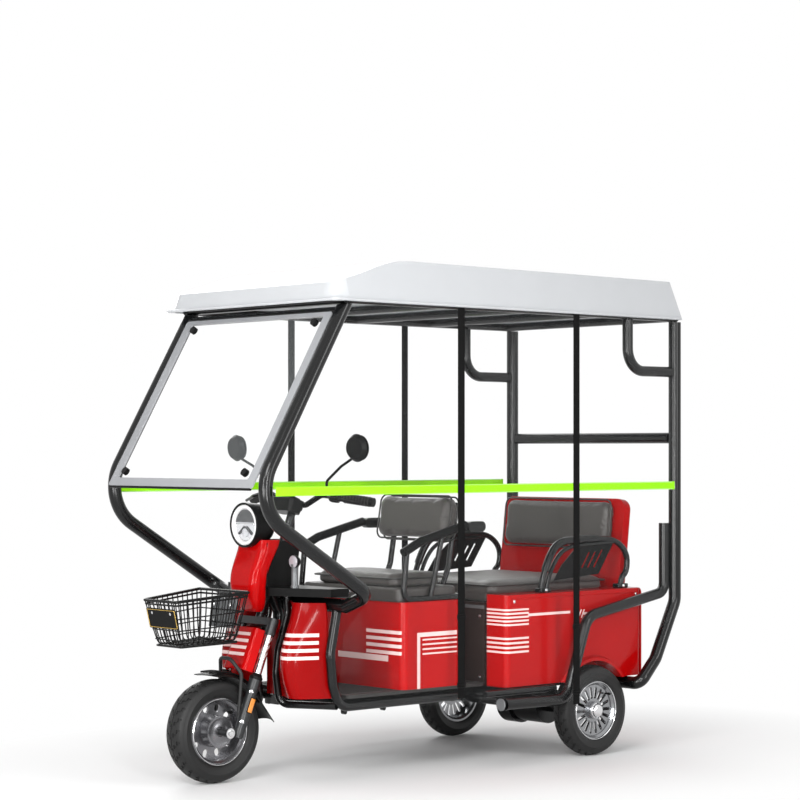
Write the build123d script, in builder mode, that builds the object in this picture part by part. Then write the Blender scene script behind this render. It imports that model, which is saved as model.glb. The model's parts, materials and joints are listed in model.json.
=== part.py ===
"""Electric passenger tricycle with a roof, a windscreen and clear side curtains.

Millimetres. +Z is up, the front faces -Y and the left side is +X.  The origin is on the
ground, at the middle of the whole outline.  Distances along the vehicle are given from the
front axle, rearwards, and are placed by aft().
"""

from math import acos, atan2, cos, degrees, radians, sin, tan
import os

from build123d import *

os.makedirs("parts", exist_ok=True)

# ------------------------------------------------------------------ driving sizes
front_axle_y = -883.5
wheelbase = 1559.0
half_track = 395.0

front_tyre_radius = 188.2
front_tyre_width = 100.0
rear_tyre_radius = 177.8
rear_tyre_width = 86.0
bead_share = 0.63
bead_width_share = 0.3

rake = 22.0
crown_height = 560.0
crown_aft = 200.0
fork_half_width = 90.0

frame_tube_r = 25.0
side_tube_x = 455.0
guard_tube_r = 18.0
guard_x = 280.0
guard_height = 270.0
sill_tube_r = 13.0
sill_x = 425.0
sill_height = 284.0
post_x = 468.0
post_aft = wheelbase + 422.0
loop_tube_r = 21.5
loop_x = 448.0

roof_half_width = 506.0
roof_edge_height = 1730.0
roof_top_height = 1890.0
roof_front_aft = 152.0
roof_rear_aft = post_aft + 4.0
roof_wall = 4.0

screen_half_width = 433.0
screen_foot_aft = -157.0
screen_foot_height = 1071.0
screen_lean = 30.4
screen_drop = 38.0

film_x = 496.0
film_thickness = 1.2
strap_width = 27.0
strap_thickness = 1.5
band_height = 1046.0
band_width = 32.0

chassis_top = 299.0
chassis_depth = 36.0
floor_thickness = 12.0
shell_wall = 4.0
contact_gap = 0.3
running_fit = 0.05

seat_box_front = 652.0
seat_box_rear = 946.0
seat_box_half_width = 302.0
seat_box_top = 637.0

wing_front = wheelbase - 474.0
wing_rear = wheelbase + 284.0
wing_inner_x = 286.0
wing_outer_x = 410.0
wing_top = 650.0
arch_gap = 18.2


def aft(distance):
    """Y of a point this far behind the front axle."""
    return front_axle_y + distance


def place(x, distance, z):
    """A point given by its side, its distance behind the front axle and its height."""
    return (x, aft(distance), z)


def bent_bar(points, radius, bends=0.0):
    """A round bar along straight runs that are joined by bends."""
    with BuildPart() as bar:
        with BuildLine() as route:
            if len(points) == 2:
                Line(*points)
            else:
                FilletPolyline(*points, radius=bends)
        with BuildSketch(Plane(origin=route.line @ 0, z_dir=route.line % 0)):
            Circle(radius)
        sweep()
    return bar.part


def both_sides(piece):
    """The piece and its mirror image across the middle of the vehicle."""
    with BuildPart() as pair:
        add(piece)
        mirror(piece, about=Plane.YZ)
    return pair.part


def finish(piece, label):
    """Label a finished piece and write it to its own file."""
    piece.part.label = label
    export_step(piece.part, f"parts/{label}.step")


# ------------------------------------------------------------------ steering axis
steer = Plane(
    origin=place(0, crown_aft, crown_height),
    x_dir=(1, 0, 0),
    z_dir=(0, sin(radians(rake)), cos(radians(rake))),
)
front_axle_height = front_tyre_radius
rear_axle_height = rear_tyre_radius
arch_radius = rear_tyre_radius + arch_gap


def along_stem(height):
    """How far along the steering axis a height above the ground lies, from the crown."""
    return (height - crown_height) / cos(radians(rake))


def axis_aft(height):
    """How far behind the front axle the steering axis is at a height."""
    return crown_aft + (height - crown_height) * tan(radians(rake))


# ------------------------------------------------------------------ wheels
def make_tyre(center, radius, width):
    """A scooter tyre: round shoulders, bulged walls and a crowned tread."""
    bead = radius * bead_share
    bead_half = width * bead_width_share
    with BuildPart() as tyre:
        with BuildSketch(Plane.XY):
            with BuildLine():
                Polyline((-bead_half, bead), (bead_half, bead))
                Spline(
                    (bead_half, bead),
                    (0.5 * width, bead + 0.5 * (radius - bead)),
                    (0.40 * width, bead + 0.86 * (radius - bead)),
                    tangents=((0.3, 0.95), (-0.5, 0.9)),
                )
                ThreePointArc(
                    (0.40 * width, bead + 0.86 * (radius - bead)),
                    (0, radius),
                    (-0.40 * width, bead + 0.86 * (radius - bead)),
                )
                Spline(
                    (-0.40 * width, bead + 0.86 * (radius - bead)),
                    (-0.5 * width, bead + 0.5 * (radius - bead)),
                    (-bead_half, bead),
                    tangents=((-0.5, -0.9), (0.3, -0.95)),
                )
            make_face()
        revolve(axis=Axis.X)
    return tyre.part.moved(Location(center))


def make_rim(center, radius, width, hub_radius, hub_half_length, bore, slots, dish):
    """A cast rim: flanged barrel, dished web with slots, hub and bore."""
    flange = radius * bead_share - contact_gap
    barrel = flange - 9.0
    half = width * bead_width_share + 5.2
    with BuildPart() as rim:
        with BuildSketch(Plane.XY):
            with BuildLine():
                Polyline(
                    (-half, flange + 4),
                    (-half, flange - 4),
                    (-half + 8, barrel - 3),
                    (half - 8, barrel - 3),
                    (half, flange - 4),
                    (half, flange + 4),
                    (half - 3, flange + 4),
                    (half - 3, flange),
                    (half - 14, flange),
                    (half - 18, barrel + 3),
                    (-half + 18, barrel + 3),
                    (-half + 14, flange),
                    (-half + 3, flange),
                    (-half + 3, flange + 4),
                    close=True,
                )
            make_face()
        revolve(axis=Axis.X)
        with BuildSketch(Plane.YZ.offset(dish - 5)):
            Circle(barrel)
            slot_length = barrel - hub_radius - 22
            with PolarLocations(hub_radius + 12 + slot_length / 2, slots):
                SlotOverall(slot_length, 2.2 * barrel / slots, mode=Mode.SUBTRACT)
        extrude(amount=10)
        with BuildSketch(Plane.YZ.offset(-hub_half_length)):
            Circle(hub_radius)
        extrude(amount=2 * hub_half_length)
        with BuildSketch(Plane.YZ.offset(-hub_half_length - 1)):
            Circle(bore)
        extrude(amount=2 * hub_half_length + 2, mode=Mode.SUBTRACT)
    return rim.part.moved(Location(center))


axle_radius = 8.0
stub_radius = 12.5
front_hub_half = 42.0
rear_hub_half = 34.0
hub_gap = 0.5
front_center = place(0, 0, front_axle_height)

with BuildPart() as front_tyre:
    add(make_tyre(front_center, front_tyre_radius, front_tyre_width))
finish(front_tyre, "front_tyre")

with BuildPart() as front_rim:
    add(
        make_rim(
            front_center,
            front_tyre_radius,
            front_tyre_width,
            hub_radius=58,
            hub_half_length=front_hub_half,
            bore=axle_radius + running_fit,
            slots=10,
            dish=-16,
        )
    )
finish(front_rim, "front_rim")

for side, sign in (("left", 1), ("right", -1)):
    center = place(sign * half_track, wheelbase, rear_axle_height)
    with BuildPart() as rear_tyre:
        add(make_tyre(center, rear_tyre_radius, rear_tyre_width))
    finish(rear_tyre, f"rear_tyre_{side}")
    with BuildPart() as rear_rim:
        add(
            make_rim(
                center,
                rear_tyre_radius,
                rear_tyre_width,
                hub_radius=34,
                hub_half_length=rear_hub_half,
                bore=stub_radius + running_fit,
                slots=18,
                dish=sign * 14,
            )
        )
    finish(rear_rim, f"rear_rim_{side}")

# ------------------------------------------------------------------ fork
stanchion_r = 15.0
leg_r = 20.0
leg_top = along_stem(front_axle_height + 182.8)
leg_foot = along_stem(front_axle_height - 20.2)
stem_r = 15.0

with BuildPart() as fork_crown:
    with BuildSketch(steer):
        SlotCenterToCenter(2 * fork_half_width, 40)
    extrude(amount=28)
    with BuildSketch(steer.offset(28)):
        Circle(stem_r)
    extrude(amount=along_stem(985) - 28)
    with BuildSketch(steer.offset(-36)):
        with Locations((fork_half_width, 0), (-fork_half_width, 0)):
            Circle(19)
    extrude(amount=36)
finish(fork_crown, "fork_crown")

with BuildPart() as fork_stanchions:
    with BuildSketch(steer.offset(leg_top + contact_gap)):
        with Locations((fork_half_width, 0), (-fork_half_width, 0)):
            Circle(stanchion_r)
    extrude(amount=-36 - contact_gap - (leg_top + contact_gap))
finish(fork_stanchions, "fork_stanchions")

with BuildPart() as fork_legs:
    with BuildSketch(steer.offset(leg_foot)):
        with Locations((fork_half_width, 0), (-fork_half_width, 0)):
            Circle(leg_r)
    extrude(amount=leg_top - 36 - leg_foot)
    with BuildSketch(steer.offset(leg_top - 36)):
        with Locations((fork_half_width, 0), (-fork_half_width, 0)):
            Circle(leg_r + 3)
    extrude(amount=36)
    for sign in (1, -1):
        lug = Plane(
            origin=place(sign * (fork_half_width - 8), 0, front_axle_height),
            x_dir=(0, 1, 0),
            z_dir=(sign, 0, 0),
        )
        with BuildSketch(lug):
            SlotCenterPoint((26, 0), (52, 0), 32)
        extrude(amount=16)
    with BuildSketch(Plane.YZ.offset(-fork_half_width - 14)):
        with Locations((aft(0), front_axle_height)):
            Circle(axle_radius)
    extrude(amount=2 * fork_half_width + 28)
    for sign in (1, -1):
        with BuildSketch(Plane.YZ.offset(sign * (front_hub_half + hub_gap))):
            with Locations((aft(0), front_axle_height)):
                Circle(axle_radius + 5)
        extrude(amount=sign * (fork_half_width - 7 - front_hub_half - hub_gap))
finish(fork_legs, "fork_legs")

shroud_foot = front_axle_height + 203.8
shroud_gap = 44.0
with BuildPart() as fork_shroud:
    with BuildSketch(steer.offset(along_stem(shroud_foot))):
        with BuildLine():
            FilletPolyline(
                (-72.5, -12), (-58, -shroud_gap), (58, -shroud_gap), (72.5, -12), radius=14
            )
            offset(amount=2, side=Side.BOTH)
        make_face()
    extrude(amount=along_stem(crown_height - 20) - along_stem(shroud_foot))
finish(fork_shroud, "fork_shroud")

fender_r = front_tyre_radius + 25.8
fender_half_width = 54.0
flap_foot = Vector(*place(0, front_tyre_radius + 60.8, front_axle_height + 25.8))
wheel_center = Vector(*front_center)
to_foot = flap_foot - wheel_center
foot_angle = degrees(atan2(to_foot.Z, to_foot.Y))
tangent_angle = foot_angle + degrees(acos(fender_r / to_foot.length))


def around_wheel(angle, radius=fender_r):
    """A point round the front axle, at an angle from straight back."""
    turn = radians(angle)
    return wheel_center + Vector(0, radius * cos(turn), radius * sin(turn))


with BuildPart() as front_fender:
    with BuildLine() as fender_route:
        Line(flap_foot, around_wheel(tangent_angle))
        ThreePointArc(around_wheel(tangent_angle), around_wheel(70), around_wheel(99))
        Line(around_wheel(99), Vector(*place(0, -78, front_axle_height + 208.8)))
    with BuildSketch(Plane(origin=flap_foot, x_dir=(1, 0, 0), z_dir=fender_route.line % 0)):
        with BuildLine():
            ThreePointArc((-fender_half_width, -14), (0, 0), (fender_half_width, -14))
            offset(amount=1.6, side=Side.BOTH)
        make_face()
    sweep(path=fender_route.line)
    with BuildSketch(Plane.XY.offset(front_axle_height + 150)):
        for sign in (1, -1):
            with BuildLine():
                Polyline(
                    (sign * 4, aft(-90)),
                    (sign * 16, aft(-66)),
                    (sign * (fender_half_width + 6), aft(-8)),
                    (sign * (fender_half_width + 6), aft(-90)),
                    close=True,
                )
            make_face()
    extrude(amount=120, mode=Mode.SUBTRACT)
finish(front_fender, "front_fender")

hoop_r = 7.0
hoop_x = fork_half_width - leg_r - hoop_r - contact_gap
hoop_foot = (axis_aft(front_axle_height + 44), front_axle_height + 44)
hoop_shoulder = (hoop_foot[0] + 14, front_axle_height + fender_r - 8)
hoop_head = (hoop_foot[0] - 12, front_axle_height + fender_r + 46)
with BuildPart() as fender_hoop:
    add(
        bent_bar(
            [
                place(-hoop_x, *hoop_foot),
                place(-hoop_x, *hoop_shoulder),
                place(-30, *hoop_head),
                place(30, *hoop_head),
                place(hoop_x, *hoop_shoulder),
                place(hoop_x, *hoop_foot),
            ],
            hoop_r,
            [34, 30, 30, 34],
        )
    )
finish(fender_hoop, "fender_hoop")

# ------------------------------------------------------------------ handlebar
bar_height = 1000.0
bar_aft = axis_aft(bar_height) + 6.0
bar_tip = (352, bar_aft + 76, bar_height + 14)
bar_knee = (150, bar_aft + 2, bar_height + 40)
bar_foot = (60, bar_aft, bar_height)
clamp_foot = along_stem(bar_height - 15)

bar_r = 11.0
bar_route = [
    place(-bar_tip[0], *bar_tip[1:]),
    place(-bar_knee[0], *bar_knee[1:]),
    place(-bar_foot[0], *bar_foot[1:]),
    place(bar_foot[0], *bar_foot[1:]),
    place(bar_knee[0], *bar_knee[1:]),
    place(*bar_tip),
]
bar_bends = [50, 40, 40, 50]

with BuildPart() as handlebar:
    add(bent_bar(bar_route, bar_r, bar_bends))
    with BuildSketch(steer.offset(clamp_foot)):
        RectangleRounded(64, 46, 10)
    extrude(amount=34)
finish(handlebar, "handlebar")

grip_run = Vector(*bar_tip) - Vector(*bar_knee)
grip_way = grip_run.normalized()
with BuildPart() as left_grip:
    grip_end = Vector(*place(*bar_tip))
    with BuildSketch(Plane(origin=grip_end + grip_way * 4, z_dir=-grip_way)):
        Circle(17)
    extrude(amount=122)
    with BuildSketch(Plane(origin=grip_end, z_dir=-grip_way)):
        Circle(bar_r + contact_gap)
    extrude(amount=130, mode=Mode.SUBTRACT)
with BuildPart() as grips:
    add(both_sides(left_grip.part))
finish(grips, "grips")

lever_root = Vector(*bar_knee) + grip_way * 62
left_lever = bent_bar(
    [
        place(*lever_root),
        place(lever_root.X - 6, lever_root.Y - 36, lever_root.Z + 2),
        place(lever_root.X + 20, lever_root.Y - 44, lever_root.Z - 4),
        place(lever_root.X + 128, lever_root.Y + 6, lever_root.Z - 22),
    ],
    5.5,
    [12, 12],
)
with BuildPart() as left_perch:
    with BuildSketch(Plane(origin=place(*(lever_root - grip_way * 14)), z_dir=grip_way)):
        Circle(18)
        Circle(bar_r + contact_gap, mode=Mode.SUBTRACT)
    extrude(amount=26)
with BuildPart() as left_brake:
    add(left_perch.part)
    add(left_lever)
    with BuildSketch(Plane(origin=place(*(lever_root - grip_way * 16)), z_dir=grip_way)):
        Circle(bar_r + contact_gap)
    extrude(amount=30, mode=Mode.SUBTRACT)
with BuildPart() as brake_levers:
    add(both_sides(left_brake.part))
finish(brake_levers, "brake_levers")

mirror_root = Vector(*bar_knee) + grip_way * 24
mirror_center = mirror_root + Vector(184, -14, 175)
mirror_stem = bent_bar(
    [
        place(mirror_root.X, mirror_root.Y, mirror_root.Z + bar_r + 3 * contact_gap),
        place(mirror_root.X + 2, mirror_root.Y - 6, mirror_root.Z + 52),
        place(mirror_root.X + 90, mirror_root.Y - 9, mirror_root.Z + 108),
        place(mirror_center.X - 14, mirror_center.Y - 2, mirror_center.Z - 34),
        place(mirror_center.X, mirror_center.Y - 2, mirror_center.Z - 6),
    ],
    5.0,
    [26, 26, 14],
)
mirror_face = Plane(
    origin=place(*mirror_center), x_dir=(1, 0, 0), z_dir=(-0.08, 0.99, 0.06)
)
with BuildPart() as left_mirror:
    add(mirror_stem)
    with BuildSketch(mirror_face):
        Circle(51)
    with BuildSketch(mirror_face.offset(-16)):
        Circle(40)
    loft()
with BuildPart() as mirrors:
    add(both_sides(left_mirror.part))
finish(mirrors, "mirrors")

with BuildPart() as instrument_pod:
    pod = Plane(
        origin=place(0, bar_aft - 50, bar_height - 28), x_dir=(1, 0, 0), z_dir=(0, 0.30, 0.95)
    )
    with BuildSketch(pod):
        RectangleRounded(112, 62, 16)
    with BuildSketch(pod.offset(52)):
        RectangleRounded(132, 74, 20)
    loft()
    fillet(instrument_pod.faces().sort_by(Axis.Z)[-1].edges(), 5)
    with BuildSketch(steer.offset(along_stem(930))):
        Circle(stem_r + contact_gap)
    extrude(amount=120, mode=Mode.SUBTRACT)
    with BuildSketch(steer.offset(clamp_foot - contact_gap)):
        RectangleRounded(64 + 1, 46 + 1, 10)
    extrude(amount=80, mode=Mode.SUBTRACT)
    add(bent_bar(bar_route, bar_r + contact_gap, bar_bends), mode=Mode.SUBTRACT)
finish(instrument_pod, "instrument_pod")

# ------------------------------------------------------------------ frame tubes
upper_slope = tan(radians(screen_lean))
knee = (-176, 1014)
hip = (352, 686)
cross_tube = (352, 640)
cross_tube_half = 330.0
roof_rail_r = 16.0
roof_rail_height = roof_edge_height + 8.0
tube_top = roof_rail_height - roof_rail_r - contact_gap
header_height = roof_edge_height - 34.0


def tube_aft(height):
    """How far behind the front axle the upper run of the side tube is at a height."""
    return knee[0] + (height - knee[1]) * upper_slope


left_side_tube = bent_bar(
    [
        place(side_tube_x, tube_aft(tube_top + frame_tube_r), tube_top + frame_tube_r),
        place(side_tube_x, *knee),
        place(side_tube_x, *hip),
        place(cross_tube_half - 12, cross_tube[0], cross_tube[1] - 4),
    ],
    frame_tube_r,
    [165, 62],
)
with BuildPart() as left_side_cut:
    add(left_side_tube)
    split(bisect_by=Plane.YZ.offset(cross_tube_half + contact_gap), keep=Keep.TOP)
with BuildPart() as side_tubes:
    add(both_sides(left_side_cut.part))
    with BuildSketch(Plane.YZ.offset(-side_tube_x)):
        with Locations((aft(tube_aft(header_height)), header_height)):
            Circle(17)
    extrude(amount=2 * side_tube_x)
    split(bisect_by=Plane.XY.offset(tube_top), keep=Keep.BOTTOM)
finish(side_tubes, "side_tubes")

tray_bottom = 672.0
tray_top = 702.0
guard_corner_aft = 362.0
guard_end = seat_box_rear + 10.0
inner_guard_x = 56.0
inner_guard_r = 14.0
left_guard_route = [
    place(guard_x, *cross_tube),
    place(guard_x, cross_tube[0] - 6, 600),
    place(guard_x, 318, 466),
    place(guard_x, 330, 350),
    place(guard_x, guard_corner_aft, guard_height),
    place(guard_x, guard_end, guard_height),
]
left_inner_guard = bent_bar(
    [
        place(inner_guard_x, 296, tray_bottom + 8),
        place(inner_guard_x, 300, 600),
        place(inner_guard_x, 256, 470),
        place(inner_guard_x, 246, 380),
        place(inner_guard_x, 262, guard_height),
        place(guard_x - 4, guard_corner_aft - 10, guard_height + 4),
    ],
    inner_guard_r,
    [60, 60, 80, 40],
)
tail_bar_aft = wheelbase + 213.0
tail_bar_height = 272.0
tail_bar_half = 376.0
left_post = bent_bar(
    [
        place(post_x, post_aft, tube_top),
        place(post_x, post_aft, 594),
        place(post_x, post_aft - 117, 366),
        place(post_x, tail_bar_aft, tail_bar_height),
        place(tail_bar_half, tail_bar_aft, tail_bar_height),
    ],
    frame_tube_r,
    [70, 70, 34],
)
beside_post = frame_tube_r + loop_tube_r + contact_gap
loop_post_aft = post_aft - (beside_post**2 - (post_x - loop_x) ** 2) ** 0.5
loop_end = wing_front - 43.0
left_loop = bent_bar(
    [
        place(loop_x, loop_end, 243),
        place(loop_x, wheelbase - 187, 238),
        place(loop_x, wheelbase - 69, 553),
        place(loop_x, loop_post_aft, 631),
        place(loop_x, loop_post_aft, 909),
    ],
    loop_tube_r,
    [66, 80, 46],
)

with BuildPart() as left_loop_capped:
    add(left_loop)
    with BuildSketch(Plane.XZ.offset(-aft(loop_end))):
        with Locations((loop_x, 243)):
            Circle(loop_tube_r + 2)
    extrude(amount=8)

with BuildPart() as left_guard:
    add(bent_bar(left_guard_route, guard_tube_r, [110, 90, 40, 60]))
    with BuildSketch(Plane.YZ):
        with Locations((aft(cross_tube[0]), cross_tube[1])):
            Circle(frame_tube_r + contact_gap)
    extrude(amount=cross_tube_half, mode=Mode.SUBTRACT)
    add(left_inner_guard)
    with BuildSketch(Plane.XZ.offset(-aft(guard_end))):
        with Locations((sill_x, sill_height)):
            Circle(sill_tube_r)
    extrude(amount=-(wing_front + 245 - guard_end))
    split(bisect_by=Plane.XY.offset(tray_bottom - contact_gap), keep=Keep.BOTTOM)

for piece, label in (
    (left_guard.part, "step_rails"),
    (left_post, "rear_posts"),
    (left_loop_capped.part, "wheel_loops"),
):
    with BuildPart() as pair:
        add(both_sides(piece))
    finish(pair, label)

cross_bar_height = 1253.0
brace_height = tube_top - 202.0
brace_aft = wheelbase + 141.0
left_brace = bent_bar(
    [
        place(post_x, brace_aft, tube_top),
        place(post_x, brace_aft, brace_height),
        place(post_x, post_aft - frame_tube_r - contact_gap, brace_height),
    ],
    21.0,
    [90],
)
with BuildPart() as rear_braces:
    add(both_sides(left_brace))
    with BuildSketch(Plane.YZ.offset(-post_x + frame_tube_r)):
        with Locations((aft(post_aft), cross_bar_height)):
            Circle(22)
    extrude(amount=2 * (post_x - frame_tube_r))
finish(rear_braces, "rear_braces")

# ------------------------------------------------------------------ chassis
chassis_rail_x = 225.0
chassis_middle = chassis_top - chassis_depth / 2
member_width = 30.0
cross_members = (
    # behind the front axle, half length
    (guard_corner_aft + 24, guard_x - guard_tube_r - contact_gap),
    (seat_box_front + 10, guard_x - guard_tube_r - contact_gap),
    (guard_end - member_width / 2, guard_x - guard_tube_r - contact_gap),
    (wing_front, sill_x - sill_tube_r - contact_gap),
    (wing_front + 225, sill_x - sill_tube_r - contact_gap),
)
down_tube_aft = 304.0
down_tube_r = 23.0
head_bottom = along_stem(602)
head_top = along_stem(745)
head_r = 23.0
with BuildPart() as chassis:
    for sign in (1, -1):
        with BuildSketch(Plane.XZ.offset(-aft(guard_corner_aft + 24))):
            with Locations((sign * chassis_rail_x, chassis_middle)):
                Rectangle(30, chassis_depth)
        extrude(amount=-(tail_bar_aft - guard_corner_aft - 24))
    for distance, half_length in cross_members:
        with BuildSketch(Plane.YZ.offset(-half_length)):
            with Locations((aft(distance), chassis_middle)):
                Rectangle(member_width, chassis_depth)
        extrude(amount=2 * half_length)
    with BuildSketch(Plane.YZ.offset(-tail_bar_half)):
        with Locations((aft(tail_bar_aft), tail_bar_height)):
            Circle(frame_tube_r)
    extrude(amount=2 * tail_bar_half)
    with BuildSketch(Plane.XZ.offset(-aft(down_tube_aft - down_tube_r))):
        with Locations((0, chassis_middle)):
            Rectangle(2 * down_tube_r, chassis_depth)
    extrude(amount=-(guard_corner_aft + 24 - down_tube_aft + down_tube_r))
    add(
        bent_bar(
            [
                place(0, down_tube_aft - 42, 690),
                place(0, down_tube_aft, 610),
                place(0, down_tube_aft, chassis_middle),
            ],
            down_tube_r,
            [60],
        )
    )
    with BuildSketch(steer.offset(head_bottom)):
        Circle(head_r)
    extrude(amount=head_top - head_bottom)
    with BuildSketch(steer.offset(head_bottom - 30)):
        Circle(stem_r + running_fit)
    extrude(amount=head_top - head_bottom + 60, mode=Mode.SUBTRACT)
    with BuildSketch(Plane.YZ.offset(-cross_tube_half)):
        with Locations((aft(cross_tube[0]), cross_tube[1])):
            Circle(frame_tube_r)
    extrude(amount=2 * cross_tube_half)
    with BuildSketch(Plane.XY.offset(cross_tube[1] - 12)):
        with Locations((0, aft((down_tube_aft + cross_tube[0]) / 2))):
            Rectangle(60, 50)
    extrude(amount=24)
    for sign in (1, -1):
        for distance in (430, 620):
            with BuildSketch(Plane.YZ.offset(sign * chassis_rail_x - 8)):
                with Locations((aft(distance), chassis_top - chassis_depth - 9)):
                    SlotOverall(40, 18, rotation=90)
            extrude(amount=16)
finish(chassis, "chassis")

# ------------------------------------------------------------------ roof
roof_rail_x = film_x - film_thickness / 2 - contact_gap - roof_rail_r
header_aft = tube_aft(tube_top) + 4
tail_aft = roof_rear_aft - roof_wall - roof_rail_r - 6
with BuildPart() as roof_frame:
    for distance in (header_aft, 700, 1100, 1500, tail_aft):
        with BuildSketch(Plane.YZ.offset(-roof_rail_x)):
            with Locations((aft(distance), roof_rail_height)):
                Circle(roof_rail_r)
        extrude(amount=2 * roof_rail_x)
    for sign in (1, -1):
        with BuildSketch(Plane.XZ.offset(-aft(header_aft - roof_rail_r))):
            with Locations((sign * roof_rail_x, roof_rail_height)):
                Circle(roof_rail_r)
        extrude(amount=-(tail_aft - header_aft + 2 * roof_rail_r))
finish(roof_frame, "roof_frame")


def roof_body(inset):
    """The roof moulding's outside, drawn in on every side but the underside."""
    drop = inset * 1.6
    edge = roof_half_width - inset
    with BuildPart() as body:
        with BuildSketch(Plane.YZ.offset(-edge)):
            with BuildLine():
                Polyline(
                    (aft(roof_front_aft + inset), roof_edge_height),
                    (aft(roof_front_aft + 12 + inset), roof_edge_height + 66 - drop),
                    (aft(270), roof_edge_height + 96 - inset),
                )
                Spline(
                    (aft(270), roof_edge_height + 96 - inset),
                    (aft(400), roof_edge_height + 138 - inset),
                    (aft(560), roof_top_height - inset),
                    tangents=((1, 0.26), (1, 0.0)),
                )
                Polyline(
                    (aft(560), roof_top_height - inset),
                    (aft(roof_rear_aft - 24 - inset), roof_top_height - 4 - inset),
                    (aft(roof_rear_aft - inset), roof_edge_height),
                    (aft(roof_front_aft + inset), roof_edge_height),
                )
            make_face()
        extrude(amount=2 * edge)
        with BuildSketch(Plane.XY.offset(roof_edge_height)):
            with BuildLine():
                Polyline(
                    (-edge, aft(roof_rear_aft + 40)),
                    (-edge, aft(roof_front_aft + 70)),
                )
                ThreePointArc(
                    (-edge, aft(roof_front_aft + 70)),
                    (-edge + 22, aft(roof_front_aft + 24)),
                    (-edge + 80, aft(roof_front_aft + inset)),
                )
                Line(
                    (-edge + 80, aft(roof_front_aft + inset)),
                    (edge - 80, aft(roof_front_aft + inset)),
                )
                ThreePointArc(
                    (edge - 80, aft(roof_front_aft + inset)),
                    (edge - 22, aft(roof_front_aft + 24)),
                    (edge, aft(roof_front_aft + 70)),
                )
                Polyline(
                    (edge, aft(roof_front_aft + 70)),
                    (edge, aft(roof_rear_aft + 40)),
                    (-edge, aft(roof_rear_aft + 40)),
                )
            make_face()
        extrude(amount=roof_top_height + 10 - roof_edge_height, taper=17, mode=Mode.INTERSECT)
    return body.part


with BuildPart() as roof_shell:
    add(roof_body(0))
    add(roof_body(roof_wall), mode=Mode.SUBTRACT)
finish(roof_shell, "roof_shell")
with BuildPart() as roof_liner:
    add(roof_body(roof_wall + contact_gap))
    with BuildSketch(Plane.XY.offset(roof_rail_height + roof_rail_r + contact_gap)):
        with Locations((0, aft((roof_front_aft + roof_rear_aft) / 2))):
            Rectangle(2 * roof_half_width, roof_rear_aft - roof_front_aft)
    extrude(amount=3, mode=Mode.INTERSECT)
finish(roof_liner, "roof_liner")

# ------------------------------------------------------------------ windscreen
lean = radians(screen_lean)
screen = Plane(
    origin=place(0, screen_foot_aft, screen_foot_height),
    x_dir=(1, 0, 0),
    z_dir=(0, -cos(lean), sin(lean)),
)
screen_length = (roof_edge_height - screen_drop - screen_foot_height) / cos(lean)
screen_strip = 40.0
screen_bar = 34.0
knob_x = 360.0
knob_heights = (60.0, screen_length - 44.0)
with BuildPart() as windscreen_frame:
    with BuildSketch(screen):
        with Locations((0, screen_length / 2)):
            RectangleRounded(2 * screen_half_width, screen_length, 12)
        with Locations((0, (screen_length + screen_bar - 16) / 2)):
            RectangleRounded(
                2 * (screen_half_width - screen_strip),
                screen_length - screen_bar - 16,
                10,
                mode=Mode.SUBTRACT,
            )
    extrude(amount=6)
finish(windscreen_frame, "windscreen_frame")

with BuildPart() as windscreen_pane:
    with BuildSketch(screen.offset(-contact_gap)):
        with Locations((0, screen_length / 2)):
            RectangleRounded(2 * screen_half_width - 12, screen_length - 12, 10)
        with Locations(*[(sx * knob_x, h) for sx in (-1, 1) for h in knob_heights]):
            Circle(5, mode=Mode.SUBTRACT)
    extrude(amount=-4)
finish(windscreen_pane, "windscreen_pane")

with BuildPart() as windscreen_knobs:
    with BuildSketch(screen):
        with Locations(*[(sx * knob_x, h) for sx in (-1, 1) for h in knob_heights]):
            Circle(14)
    extrude(amount=16)
finish(windscreen_knobs, "windscreen_knobs")

# ------------------------------------------------------------------ side curtains
curtain_top = roof_edge_height + 6
with BuildPart() as left_film:
    with BuildSketch(Plane.YZ.offset(film_x - film_thickness / 2)):
        with BuildLine():
            FilletPolyline(
                (aft(tube_aft(curtain_top)), curtain_top),
                (aft(knee[0]), knee[1]),
                (aft(hip[0] - 20), hip[1] + 6),
                (aft(200), 560),
                (aft(170), 300),
                (aft(1400), 232),
                (aft(post_aft - frame_tube_r), 540),
                (aft(post_aft - frame_tube_r), curtain_top),
                radius=[165, 40, 40, 40, 60, 40],
            )
            Line(
                (aft(post_aft - frame_tube_r), curtain_top),
                (aft(tube_aft(curtain_top)), curtain_top),
            )
        make_face()
    extrude(amount=film_thickness)
with BuildPart() as curtain_films:
    add(both_sides(left_film.part))
finish(curtain_films, "curtain_films")

strap_face = film_x + film_thickness / 2 + contact_gap
with BuildPart() as left_straps:
    for distance, foot in ((765, 290), (1376, 222)):
        with BuildSketch(Plane.YZ.offset(strap_face)):
            with Locations((aft(distance), (curtain_top + foot) / 2)):
                Rectangle(strap_width, curtain_top - foot)
        extrude(amount=strap_thickness)
with BuildPart() as curtain_straps:
    add(both_sides(left_straps.part))
finish(curtain_straps, "curtain_straps")

band_face = film_x - film_thickness / 2 - contact_gap
with BuildPart() as left_band:
    with BuildSketch(Plane.YZ.offset(band_face)):
        with BuildLine():
            band_foot = band_height
            band_head = band_height + band_width
            Polyline(
                (aft(knee[0] + 66), band_foot),
                (aft(post_aft - frame_tube_r), band_foot),
                (aft(post_aft - frame_tube_r), band_head),
                (aft(knee[0] + 70), band_head),
                close=True,
            )
        make_face()
    extrude(amount=-0.6)
with BuildPart() as reflective_bands:
    add(both_sides(left_band.part))
finish(reflective_bands, "reflective_bands")

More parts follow.
